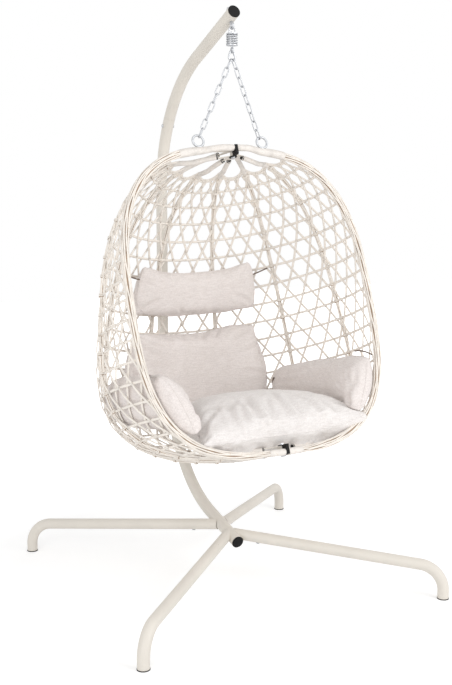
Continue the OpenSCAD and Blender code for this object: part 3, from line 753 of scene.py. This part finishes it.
def weave_band(name, side, number, rows, first, last):
    """One height band of a panel: level rows, and two families of slanted canes that cross
    half way between them and leave six-sided openings"""
    b = bpy.context.scene.basket_sizes
    body = Body(f"cane_weave_{name}_{number}_{first + 1}", "round_cane")
    cells = b.cells * (0.5 if number == 1 else 1.0)
    wire = b.strand / 2
    lowest = len(rows) - 1

    def strand(f, s, inset, radius=wire):
        phi = panel_angle(side, number, f, s)
        body.tube(shell(phi, s, inset), radius, 6, outward(phi, s), flat=b.strand_flat)

    for k in range(first, last + (1 if last == lowest else 0)):
        f = np.linspace(0, 1, 13)
        s = np.full_like(f, rows[k])
        if k == 0:
            # the first row rises towards its members
            s = s - ROW_RISE * (np.abs(2 * f - 1) if number > 1 else f) ** ROW_RISE_POWER
        strand(f, s, ROW_INSET + CROSS_WAVE * np.sin(f * 19 + k), wire * 1.05)
        if k in (0, lowest):
            strand(f, s + BORDER_STEPS[0 if k == 0 else 1], ROW_INSET)
    for way, shift in ((1, -0.25), (-1, 0.25)):
        for start in np.arange(-lowest, cells + lowest, 1.0):
            k = np.linspace(first, last, (last - first) * CROSS_STEPS + 1)
            c = start + shift + way * k / 2
            inside = (c > -CROSS_OVER) & (c < cells + CROSS_OVER)
            if inside.sum() < 2:
                continue
            k, c = k[inside], np.clip(c[inside], 0, cells)
            lift = ROW_INSET - way * (CROSS_LIFT - CROSS_WAVE * np.cos(2 * math.pi * k))
            strand(c / cells, rows_to_s(k, rows), lift)
    return body.make()


class EGGCHAIR_OT_weave(bpy.types.Operator):
    """Weaves the eight panels between the members, in height bands"""

    bl_idname = "eggchair.weave"
    bl_label = "Weave"

    def execute(self, context):
        rows = row_shares()
        borders = [k for k in BANDS if k < len(rows) - 1] + [len(rows) - 1]
        for name, side in SIDES.items():
            for number in (1, 2, 3, RIM):
                for first, last in zip(borders, borders[1:]):
                    made = weave_band(name, side, number, rows, first, last)
                    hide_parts(f"weave_{name}_{number}")
                    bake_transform(made)
        return {"FINISHED"}


# ---- Cushions ------------------------------------------------------------------------------
# f and g run from -1 to 1 across and along a cushion, and h is 1 on its face, -1 underneath
SEAM = 0.009
KEEP, ARM_KEEP, SEAT_KEEP = 0.40, 0.346, 0.27
SIDE_WAY, SIDE_ANCHOR = (-0.900, 0.436), 0.205
FILL_FRAMES = 20
RUMPLE_DEPTH, RUMPLE_SIZE = 0.0030, 0.075
EAR_SIZE = 0.042
PAD_SWELL, LOOSE_SWELL = (2.8, 0.45), (2.6, 0.5)
FOLD_BOW, FOLD_RIDGE, FOLD_RIDGE_PLACE = 0.03, 0.45, 1.9
PIPING_STEP, PIPING_PROBE, PIPING_REACH = 0.008, 0.06, 0.16
# folds of a cushion, each with the f and g of its start, those of its end, its width and its
# depth
BACK_FOLDS = (
    (-0.95, -0.95, -0.45, -0.55, 0.011, 0.0060), (-0.98, -0.70, -0.60, -0.35, 0.010, 0.0045),
    (-0.40, -0.99, -0.34, -0.62, 0.009, 0.0045), (-0.14, -0.99, -0.18, -0.72, 0.008, 0.0035),
    (0.22, -0.99, 0.16, -0.60, 0.010, 0.0055), (0.46, -0.99, 0.36, -0.70, 0.009, 0.0045),
    (0.95, -0.95, 0.55, -0.58, 0.011, 0.0060), (0.98, -0.40, 0.66, -0.30, 0.010, 0.0040),
    (0.97, 0.30, 0.62, 0.16, 0.010, 0.0040),
)
HEAD_FOLDS = (
    (-0.97, -0.92, -0.66, -0.30, 0.009, 0.0050), (-0.97, 0.90, -0.70, 0.35, 0.009, 0.0050),
    (0.97, -0.92, 0.68, -0.30, 0.009, 0.0050), (0.97, 0.90, 0.70, 0.35, 0.009, 0.0045),
    (-0.52, -0.99, -0.44, -0.45, 0.008, 0.0035), (0.30, -0.99, 0.26, -0.50, 0.008, 0.0035),
    (0.10, 0.99, 0.16, 0.50, 0.008, 0.0030), (-0.22, 0.99, -0.28, 0.55, 0.008, 0.0030),
)
SEAT_FOLDS = (
    (-0.62, -0.99, -0.50, -0.42, 0.012, 0.0085), (-0.46, -0.99, -0.40, -0.55, 0.010, 0.0060),
    (-0.30, -0.99, -0.24, -0.30, 0.012, 0.0090), (-0.16, -0.99, -0.06, -0.50, 0.010, 0.0055),
    (0.06, -0.99, 0.14, -0.20, 0.013, 0.0095), (0.24, -0.99, 0.20, -0.45, 0.010, 0.0060),
    (0.46, -0.99, 0.36, -0.35, 0.012, 0.0080), (0.66, -0.98, 0.50, -0.50, 0.010, 0.0060),
    (0.95, -0.90, 0.62, -0.55, 0.011, 0.0070), (0.98, -0.60, 0.68, -0.30, 0.011, 0.0060),
    (-0.97, -0.90, -0.70, -0.50, 0.011, 0.0070),
)
SEAT_UNDER = (
    (-0.90, -0.99, -0.60, -0.60, 0.011, 0.0050), (0.10, -0.99, 0.05, -0.60, 0.011, 0.0050),
)


def rounded(f, g, corner):
    """Draws f in where g is near an edge, for round corners"""
    return f * np.sqrt(1 - corner * g * g / 2)


def swell(f, g, p, q):
    """How full a cushion is: 1 in the middle, 0 at the seam"""
    return np.maximum((1 - np.abs(f) ** p) * (1 - np.abs(g) ** p), 0) ** q


def shell_pad(from_angle, to_angle, top, foot, thick, gap, corner, tuck=0.0, slim=0.84):
    """A cushion's faces against the inside of the shell, as a function of f, g and h.
    Top and foot give its edges as shares of the height at the two angles, and tuck the
    share by which its edges are drawn from its middle plane towards the shell"""
    def surface(f, g, h):
        a0, a1 = math.radians(from_angle), math.radians(to_angle)
        e0 = (top[0] + top[1]) / 2 + (top[1] - top[0]) / 2 * f
        e1 = (foot[0] + foot[1]) / 2 + (foot[1] - foot[0]) / 2 * f
        phi = (a0 + a1) / 2 + (a1 - a0) / 2 * rounded(f, g, corner)
        s = (e0 + e1) / 2 + (e1 - e0) / 2 * rounded(g, f, corner)
        full = swell(f, g, *PAD_SWELL)
        body = slim * thick * full + SEAM
        middle = gap + thick / 2 * (1 - tuck * (1 - full))
        return in_chair(shell(phi, s, middle + h * body / 2))
    return surface


def loose_pad(centre, size, lean, narrow, corner, droop, slim=0.86):
    """A cushion that lies on its own, leaning about X and narrower towards the back.  Its
    front edge hangs down by droop"""
    def surface(f, g, h):
        x = size[0] * rounded(f, g, corner) * (1 - narrow * (g + 1) / 2)
        y = size[1] * rounded(g, f, corner)
        z = h * (slim * size[2] * swell(f, g, *LOOSE_SWELL) + SEAM) / 2
        z = z - droop * smooth((-g - 0.3) / 0.7) * (1 - np.maximum(f, 0) ** 3)
        ca, sa = math.cos(lean), -math.sin(lean)
        return np.stack([x, y * ca - z * sa, y * sa + z * ca], -1) + np.array(centre)
    return surface


def cover(name, surface, nf, ng, material):
    """The sewn cover: two faces that meet in a seam all round"""
    f, g = np.meshgrid(np.sin(np.linspace(-1, 1, nf + 1) * math.pi / 2),
                       np.sin(np.linspace(-1, 1, ng + 1) * math.pi / 2))
    w, count = nf + 1, (nf + 1) * (ng + 1)
    points = np.concatenate([surface(f, g, h).reshape(-1, 3) for h in (1, -1)])
    top = [[j * w + i, j * w + i + 1, (j + 1) * w + i + 1, (j + 1) * w + i]
           for j in range(ng) for i in range(nf)]
    low = [[v + count for v in q[::-1]] for q in top]
    edge = [i for i in range(nf)] + [j * w + nf for j in range(ng)] \
        + [ng * w + i for i in range(nf, 0, -1)] + [j * w for j in range(ng, 0, -1)]
    seam = [[b, a, a + count, b + count] for a, b in zip(edge, edge[1:] + edge[:1])]
    body = Body(name, material)
    body.add(points, top + low + seam)
    return body.make(tilted=False)


def baked(made):
    """Replaces an object's mesh by what its modifiers make of it"""
    seen = made.evaluated_get(bpy.context.evaluated_depsgraph_get())
    data = bpy.data.meshes.new_from_object(seen)
    made.modifiers.clear()
    old, made.data = made.data, data
    bpy.data.meshes.remove(old)


def fill(made, cap):
    """Fills a cover with cloth simulation, then limits how far any point has gone"""
    c = bpy.context.scene.cushion_sizes
    scene = bpy.context.scene
    grid = made.modifiers.new("grid", "REMESH")
    grid.mode, grid.voxel_size = "VOXEL", c.voxel
    baked(made)
    before = corners_of(made.data)
    cloth = made.modifiers.new("cloth", "CLOTH")
    rule = cloth.settings
    rule.quality, rule.mass = 5, 0.25
    rule.tension_stiffness = rule.compression_stiffness = 14
    rule.shear_stiffness, rule.bending_stiffness = 6, 0.35
    rule.use_pressure, rule.uniform_pressure_force = True, c.pressure
    rule.shrink_min = -c.ease
    rule.effector_weights.gravity = 0
    cloth.collision_settings.use_collision = False
    cloth.collision_settings.use_self_collision = False
    cloth.point_cache.frame_start, cloth.point_cache.frame_end = 1, FILL_FRAMES
    for number in range(1, FILL_FRAMES + 1):
        scene.frame_set(number)
    seen = made.evaluated_get(bpy.context.evaluated_depsgraph_get()).to_mesh()
    move = corners_of(seen) - before
    far = np.linalg.norm(move, axis=1)[:, None]
    made.modifiers.clear()
    move_to(made.data, before + move * (cap * np.tanh(far / cap) / (far + 1e-9)))
    scene.frame_set(1)
    finer = made.modifiers.new("finer", "SUBSURF")
    finer.levels = finer.render_levels = 1
    baked(made)
    made.data.shade_smooth()
    return made


def creases(made, surface, folds, under):
    """Presses soft folds into a cushion's face and its underside"""
    tree = BVHTree.FromObject(made, bpy.context.evaluated_depsgraph_get())
    co = corners_of(made.data)
    normal = np.array([v.normal for v in made.data.vertices], float)
    push = np.zeros(len(co))
    t = np.linspace(0, 1, 25)
    for h, (f0, g0, f1, g1, width, depth) in [(1, fold) for fold in folds] \
            + [(-1, fold) for fold in under]:
        bow = FOLD_BOW * np.sin(math.pi * t) * (1 if f0 + g1 > 0 else -1)
        path = surface(f0 + (f1 - f0) * t + bow, g0 + (g1 - g0) * t - bow, h)
        path = np.array([tree.find_nearest(Vector(p))[0] for p in path])
        near = np.linalg.norm(co - path.mean(0), axis=1) < 0.5 * np.ptp(path, axis=0).max() \
            + np.linalg.norm(path[0] - path[-1]) + 4 * width
        pick = np.flatnonzero(near)
        apart = np.linalg.norm(co[pick, None] - path[None], axis=2)
        at = apart.argmin(1)
        d = apart[np.arange(len(pick)), at] / width
        fade = np.clip(np.sin(math.pi * (0.10 + 0.80 * t[at])), 0, 1)
        # a groove with a low ridge on each side of it
        ridge = FOLD_RIDGE * np.exp(-(d - FOLD_RIDGE_PLACE) ** 2)
        push[pick] += fade * depth * (ridge - np.exp(-d * d))
    move_to(made.data, co + normal * push[:, None])


def rumple(made, seed):
    """Gives a cushion the soft unevenness of loose filling"""
    out = []
    for v in made.data.vertices:
        at = v.co / RUMPLE_SIZE + Vector((seed, -seed, 2 * seed))
        rise = noise.noise(at) + 0.4 * noise.noise(at * 2.3)
        out.append(v.co + v.normal * RUMPLE_DEPTH * rise)
    move_to(made.data, out)


def ears(made, surface, pulls):
    """Draws corners out to points.  Each pull is f, g and distance"""
    co = corners_of(made.data)
    for f, g, pull in pulls:
        tip, back = surface(np.array([f, 0.8 * f]), np.array([g, 0.8 * g]), 0.0)
        weight = np.exp(-(np.linalg.norm(co - tip, axis=1) / EAR_SIZE) ** 2)
        co += (weight * pull)[:, None] * unit(tip - back)
    move_to(made.data, co)


def softened(loop, times):
    """A closed line with its sharp turns evened out"""
    for _ in range(times):
        loop = (np.roll(loop, 1, 0) + 2 * loop + np.roll(loop, -1, 0)) / 4
    return loop


def piping(name, cushion, surface, material):
    """The sewn edge that runs round a cushion, laid on its filled surface"""
    c = bpy.context.scene.cushion_sizes
    tree = BVHTree.FromObject(cushion, bpy.context.evaluated_depsgraph_get())
    w = np.linspace(-1, 1, 60)
    one = np.ones_like(w)
    path = surface(np.concatenate([w, one, w[::-1], -one]),
                   np.concatenate([-one, w, one, w[::-1]]), 0.0)
    path, _ = even(np.concatenate([path, path[:1]]), step=PIPING_STEP)
    path = softened(path[:-1], 2)
    middle = Vector(path.mean(0))
    laid = []
    for p in path:
        out = (Vector(p) - middle).normalized()
        hit = tree.ray_cast(Vector(p) + out * PIPING_PROBE, -out, PIPING_REACH)[0]
        laid.append(tree.find_nearest(Vector(p))[0] if hit is None else hit)
    laid = softened(np.array(laid), 3)
    body = Body(name, material)
    body.tube(laid, c.piping / 2 * (1 + 0.08 * np.sin(np.arange(len(laid)) * 1.7)), 8,
              (0.1, 1, 0.2), closed=True)
    return body.make(tilted=False)


def narrowed(made, side=0):
    """Works out how a soft piece would be squeezed as the basket folds round it: towards the
    middle plane, or a piece of one side towards the back, where the ribs of that side gather.
    The squeeze is not applied; the piece only gets its own mesh"""
    axis, anchor = Vector((1, 0, 0)), Vector((0, 0, 0))
    if side:
        front, back = in_chair([[0.0, 0.0, 0.0], [SIDE_WAY[0] * side, SIDE_WAY[1], 0.0]])
        axis = Vector(back - front)
        anchor = Vector(front) + axis * SIDE_ANCHOR
    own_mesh(made)


def cushion(name, node, surface, grid, cap, folds, pulls, material, fill_share, seed,
            under=(), keep=KEEP, side=0):
    """One finished cushion with its sewn edge"""
    made = fill(cover(name, surface, *grid, material), cap)
    rumple(made, seed)
    creases(made, surface, folds, under)
    ears(made, surface, pulls)
    edge = piping(f"{name}_edge", made, surface, material)
    place(made, "hub", "linen", node)
    place(edge, "hub", "linen")
    for piece in (made, edge):
        narrowed(piece, side)


class EGGCHAIR_OT_back_cushion(bpy.types.Operator):
    """Builds the back cushion"""

    bl_idname = "eggchair.back_cushion"
    bl_label = "Back cushion"

    def execute(self, context):
        surface = shell_pad(-28.8, 28.8, top=(0.483, 0.483), foot=(0.79, 0.79), thick=0.105,
                            gap=0.018, corner=0.42)
        cushion("linen_back_cushion", "back_cushion", surface, grid=(34, 26), cap=0.022,
                folds=BACK_FOLDS, pulls=[(0.60, -1, 0.016), (0.85, -0.98, 0.009)],
                material="slubbed_linen", fill_share=0.75, seed=3.1)
        return {"FINISHED"}


class EGGCHAIR_OT_head_pillow(bpy.types.Operator):
    """Builds the head pillow"""

    bl_idname = "eggchair.head_pillow"
    bl_label = "Head pillow"

    def execute(self, context):
        surface = shell_pad(-29.3, 29.3, top=(0.279, 0.279), foot=(0.440, 0.440), thick=0.085,
                            gap=0.022, corner=0.26)
        cushion("linen_head_pillow", "head_pillow", surface, grid=(34, 20), cap=0.018,
                folds=HEAD_FOLDS, pulls=[(1, -1, 0.007)], material="slubbed_linen",
                fill_share=0.8, seed=1.7)
        return {"FINISHED"}


class EGGCHAIR_OT_arm_cushions(bpy.types.Operator):
    """Builds the two arm cushions, gathered at their front ends"""

    bl_idname = "eggchair.arm_cushions"
    bl_label = "Arm cushions"

    def execute(self, context):
        # angles, then the edges at the top and at the foot, and the thickness
        forms = {"left": (-93, -30.6, (0.712, 0.66), (0.915, 0.80), 0.142),
                 "right": (30.6, 93, (0.652, 0.712), (0.80, 0.90), 0.130)}
        for name, side in SIDES.items():
            surface = shell_pad(*forms[name], gap=0.0205, corner=0.5, tuck=0.5, slim=0.88)
            # folds fan out from the gathered lower front end
            folds = [(0.88 * side, 0.72, f * side, g, 0.010, depth)
                     for f, g, depth in ((0.96, -0.45, 0.0050), (0.80, -0.30, 0.0075),
                                         (0.62, -0.15, 0.0080), (0.50, 0.12, 0.0080),
                                         (0.42, 0.40, 0.0075), (0.40, 0.70, 0.0070))]
            folds += [(-0.98 * side, g, -0.62 * side, g + 0.08, width, depth)
                      for g, width, depth in ((-0.55, 0.009, 0.0040), (-0.20, 0.010, 0.0045),
                                              (0.25, 0.009, 0.0035))]
            folds += [(f * side, -0.99, (f + 0.05) * side, -0.55, 0.009, 0.0040)
                      for f in (-0.35, 0.05, 0.45)]
            cushion(f"linen_arm_cushion_{name}", f"arm_cushion_{name}", surface, grid=(30, 24),
                    cap=0.020, folds=folds, pulls=[(side, 1, 0.006)], material="side_linen",
                    fill_share=0.7, seed=5.3 + side, keep=ARM_KEEP, side=side)
        return {"FINISHED"}


class EGGCHAIR_OT_seat_cushion(bpy.types.Operator):
    """Builds the seat cushion, full in the middle with folds across its front"""

    bl_idname = "eggchair.seat_cushion"
    bl_label = "Seat cushion"

    def execute(self, context):
        surface = loose_pad((0.030, -0.156, 0.592), (0.312, 0.236, 0.160), math.radians(8),
                            narrow=0.34, corner=0.26, droop=0.036)
        cushion("linen_seat_cushion", "seat_cushion", surface, grid=(36, 30), cap=0.024,
                folds=SEAT_FOLDS, pulls=[(1, -1, 0.006), (-1, -1, 0.004)],
                material="seat_linen", fill_share=0.85, seed=8.2, under=SEAT_UNDER,
                keep=SEAT_KEEP)
        return {"FINISHED"}


# a tie's curve has three corners, each with its angle in degrees, share s and inset
BACK_TIES = (((28.0, 0.325, 0.066), (32.5, 0.312, 0.034), (36.5, 0.300, 0.012)),
             ((31.2, 0.70, 0.085), (30.2, 0.715, 0.050), (30.4, 0.745, 0.010)))
ARM_TIE = ((80, 0.690, 0.075), (84, 0.690, 0.050), (87.8, 0.716, 0.017))
LEFT_TIE_DROP = 0.019
TAPE_RADIUS, TAPE_FLAT = 0.0042, 0.55


def add_tie(body, side, corners, drop=0.0):
    """One tape along a curve from its cushion to the cane"""
    phi, s, inset = np.array(corners).T
    start, middle, end = shell(np.radians(phi) * side, s + drop, inset)
    t = np.linspace(0, 1, 15)[:, None]
    line = (1 - t) ** 2 * start + 2 * t * (1 - t) * middle + t * t * end
    body.tube(line, TAPE_RADIUS, 8, (0.2, 0.1, 1), flat=TAPE_FLAT)


class EGGCHAIR_OT_ties(bpy.types.Operator):
    """Builds the flat tapes that hold the cushions to the canes"""

    bl_idname = "eggchair.ties"
    bl_label = "Cushion ties"

    def execute(self, context):
        back = Body("woven_cushion_ties", "woven_tape")
        for side in SIDES.values():
            for corners in BACK_TIES:
                add_tie(back, side, corners)
        narrowed(place(back.make(), "hub", "tape", "cushion_ties"))
        for name, side in SIDES.items():
            arm = Body(f"woven_arm_ties_{name}", "woven_tape")
            add_tie(arm, side, ARM_TIE, LEFT_TIE_DROP if name == "left" else 0.0)
            narrowed(place(arm.make(), "hub", "tape"), side)
        return {"FINISHED"}


# ---- Stand and hanger ------------------------------------------------------------------------
SPRING_WIRE, SPRING_TURNS, SPRING_STEPS = 0.0044, 4.5, 48
SPRING_FLAT, SPRING_CLIMB = 0.09, 0.82


class EGGCHAIR_OT_stand(bpy.types.Operator):
    """Gives the steel stand its powder coat and plastic caps"""

    bl_idname = "eggchair.stand"
    bl_label = "Stand"

    def execute(self, context):
        paint("baked_powder_coat", "post_lower", "post_upper", "leg_sockets", "leg_front_left",
              "leg_front_right", "leg_back_left", "leg_back_right")
        paint("moulded_plastic", "foot_caps", "post_end_cap", "arm_end_cap")
        paint("bright_zinc", "leg_bolts", "post_bolt")
        return {"FINISHED"}


class EGGCHAIR_OT_hanger(bpy.types.Operator):
    """Finishes the sprung swivel hanger and its chains, with a round-wire spring"""

    bl_idname = "eggchair.hanger"
    bl_label = "Hanger"

    def execute(self, context):
        paint("bright_zinc", "eye_bolt", "bolt_washers", "yoke", "spring_washer", "swivel_eye",
              "quick_link", "chain_left", "chain_right", "top_pin", "bottom_pin")
        paint("moulded_plastic", "top_cover", "bottom_cover")
        paint("baked_powder_coat", *[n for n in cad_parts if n.startswith("hinge_tabs")])
        low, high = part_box("spring")
        radius = (high.x - low.x - SPRING_WIRE) / 2
        q = np.linspace(0, 1, int(SPRING_STEPS * SPRING_TURNS) + 1)
        turn = 2 * math.pi * SPRING_TURNS * q
        # the end coils lie flat, and the wire climbs between them
        climb = np.clip((q - SPRING_FLAT) / SPRING_CLIMB, 0, 1)
        line = np.stack([radius * np.cos(turn) + (low.x + high.x) / 2,
                         radius * np.sin(turn) + (low.y + high.y) / 2,
                         low.z + SPRING_WIRE / 2 + (high.z - low.z - SPRING_WIRE) * climb], -1)
        body = Body("zinc_spring", "bright_zinc")
        body.tube(line, SPRING_WIRE / 2, 12)
        made = place(body.make(tilted=False), "yoke", "zinc", "spring")
        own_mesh(made)
        return {"FINISHED"}


# ---- Studio ------------------------------------------------------------------------------------
LENS_SHIFT = 0.0022, -0.0038
LAMP_AIM = Vector((0, 0, 0.95))
RIM_LIGHT_SHARE = 0.15
FLOOR_HALF, FLOOR_GLOW = 9, 1.70
# the glow takes over from the shaded floor between these distances from the middle
FLOOR_SPREAD = {"From Min": 0.9, "From Max": 2.4, "To Min": 0.22, "To Max": 0.97}


def aim(made, way):
    """Turns a camera or lamp to look along a direction"""
    made.rotation_euler = way.to_track_quat("-Z", "Y").to_euler()


def add_camera(st):
    """The camera, at the place and in the direction of the settings"""
    camera = added("camera", bpy.data.cameras.new("camera"))
    camera.location = st.camera
    aim(camera, Vector((-math.sin(st.azimuth) * math.cos(st.dip),
                        math.cos(st.azimuth) * math.cos(st.dip), -math.sin(st.dip))))
    camera.data.sensor_fit = "VERTICAL"
    camera.data.sensor_height = 36
    camera.data.lens = st.lens
    camera.data.shift_x, camera.data.shift_y = LENS_SHIFT
    camera.data.clip_end = 60
    bpy.context.scene.camera = camera


def add_lamp(name, spot, size, power):
    """A soft square lamp that points at the middle of the chair"""
    lamp = bpy.data.lights.new(name, "AREA")
    lamp.size, lamp.energy = size, power
    made = added(name, lamp)
    made.location = spot
    aim(made, LAMP_AIM - Vector(spot))


def add_surround(strength):
    """White where it is seen, straight or in a reflection, and elsewhere an even light"""
    world = bpy.data.worlds.new("surround")
    world.use_nodes = True
    bpy.context.scene.world = world
    nodes, link = world.node_tree.nodes, world.node_tree.links.new
    ray = nodes.new("ShaderNodeLightPath")
    light, white = nodes["Background"], nodes.new("ShaderNodeBackground")
    light.inputs["Strength"].default_value = strength
    for node in (light, white):
        node.inputs["Color"].default_value = (1, 1, 1, 1)
    seen = ray.outputs["Is Camera Ray"]
    for kind in ("Is Glossy Ray", "Is Transmission Ray"):
        either = nodes.new("ShaderNodeMath")
        either.operation = "MAXIMUM"
        link(seen, either.inputs[0])
        link(ray.outputs[kind], either.inputs[1])
        seen = either.outputs[0]
    mix = nodes.new("ShaderNodeMixShader")
    for out, into in zip((seen, light.outputs[0], white.outputs[0]), mix.inputs):
        link(out, into)
    link(mix.outputs[0], nodes["World Output"].inputs["Surface"])


def add_floor():
    """A pale floor that turns into a plain glow away from the chair, for the camera only"""
    n = Nodes("pale_floor")
    n.material.cycles.emission_sampling = "NONE"
    n.set(Base_Color=(0.97, 0.97, 0.97, 1), Roughness=0.9, Specular_IOR_Level=0.1)
    glow = n.add("ShaderNodeEmission")
    glow.inputs["Strength"].default_value = FLOOR_GLOW
    away = n.add("ShaderNodeVectorMath", operation="LENGTH")
    n.link(n.place, away.inputs[0])
    spread = n.add("ShaderNodeMapRange")
    for key, value in FLOOR_SPREAD.items():
        spread.inputs[key].default_value = value
    n.link(away.outputs["Value"], spread.inputs["Value"])
    share = n.add("ShaderNodeMath", operation="MULTIPLY")
    n.link(n.add("ShaderNodeLightPath").outputs["Is Camera Ray"], share.inputs[0])
    n.link(spread.outputs["Result"], share.inputs[1])
    mix = n.add("ShaderNodeMixShader")
    for node, into in zip((share, n.shader, glow), mix.inputs):
        n.link(node.outputs[0], into)
    n.link(mix.outputs[0], n.tree.nodes["Material Output"].inputs["Surface"])
    data = bpy.data.meshes.new("floor")
    h = FLOOR_HALF
    data.from_pydata([(-h, -h, 0), (h, -h, 0), (h, h, 0), (-h, h, 0)], [], [[0, 1, 2, 3]])
    data.materials.append(n.material)
    made = added("floor", data)


class EGGCHAIR_OT_stage(bpy.types.Operator):
    """Sets up the camera, soft lights, pale floor and white surround"""

    bl_idname = "eggchair.stage"
    bl_label = "Stage"

    def execute(self, context):
        st = context.scene.studio_settings
        context.scene.view_settings.view_transform = "Standard"
        add_camera(st)
        add_lamp("key", (2.2, -3.4, 2.5), 2.4, st.key)
        add_lamp("fill", (-3.2, -2.6, 1.7), 2.6, st.fill)
        add_lamp("rim_light", (1.2, 2.8, 2.6), 2.2, st.fill * RIM_LIGHT_SHARE)
        add_surround(st.sky)
        add_floor()
        return {"FINISHED"}


# ---- Panel and registration --------------------------------------------------------------------
OPERATORS = (EGGCHAIR_OT_stage, EGGCHAIR_OT_stand, EGGCHAIR_OT_hanger, EGGCHAIR_OT_rims,
             EGGCHAIR_OT_ribs, EGGCHAIR_OT_weave, EGGCHAIR_OT_back_cushion,
             EGGCHAIR_OT_head_pillow, EGGCHAIR_OT_arm_cushions, EGGCHAIR_OT_seat_cushion,
             EGGCHAIR_OT_ties)
GROUPS = {"basket_sizes": BasketSizes, "cushion_sizes": CushionSizes,
          "chair_colours": ChairColours, "studio_settings": StudioSettings}


class EGGCHAIR_PT_panel(bpy.types.Panel):
    """Lists the chair's pieces and their settings"""

    bl_label = "Egg chair"
    bl_idname = "EGGCHAIR_PT_panel"
    bl_space_type = "VIEW_3D"
    bl_region_type = "UI"
    bl_category = "Egg chair"

    def draw(self, context):
        for operator in OPERATORS:
            self.layout.operator(operator.bl_idname)
        for name, group in GROUPS.items():
            box = self.layout.box()
            box.label(text=group.__doc__)
            for key in group.__annotations__:
                box.prop(getattr(context.scene, name), key)


def register():
    for cls in (*GROUPS.values(), *OPERATORS, EGGCHAIR_PT_panel):
        bpy.utils.register_class(cls)
    for name, group in GROUPS.items():
        setattr(bpy.types.Scene, name, PointerProperty(type=group))


def unregister():
    for name in GROUPS:
        delattr(bpy.types.Scene, name)
    for cls in (EGGCHAIR_PT_panel, *reversed(OPERATORS), *reversed(list(GROUPS.values()))):
        bpy.utils.unregister_class(cls)


def main():
    register()
    for operator in OPERATORS:
        group, name = operator.bl_idname.split(".")
        getattr(getattr(bpy.ops, group), name)()


if __name__ == "__main__":
    main()
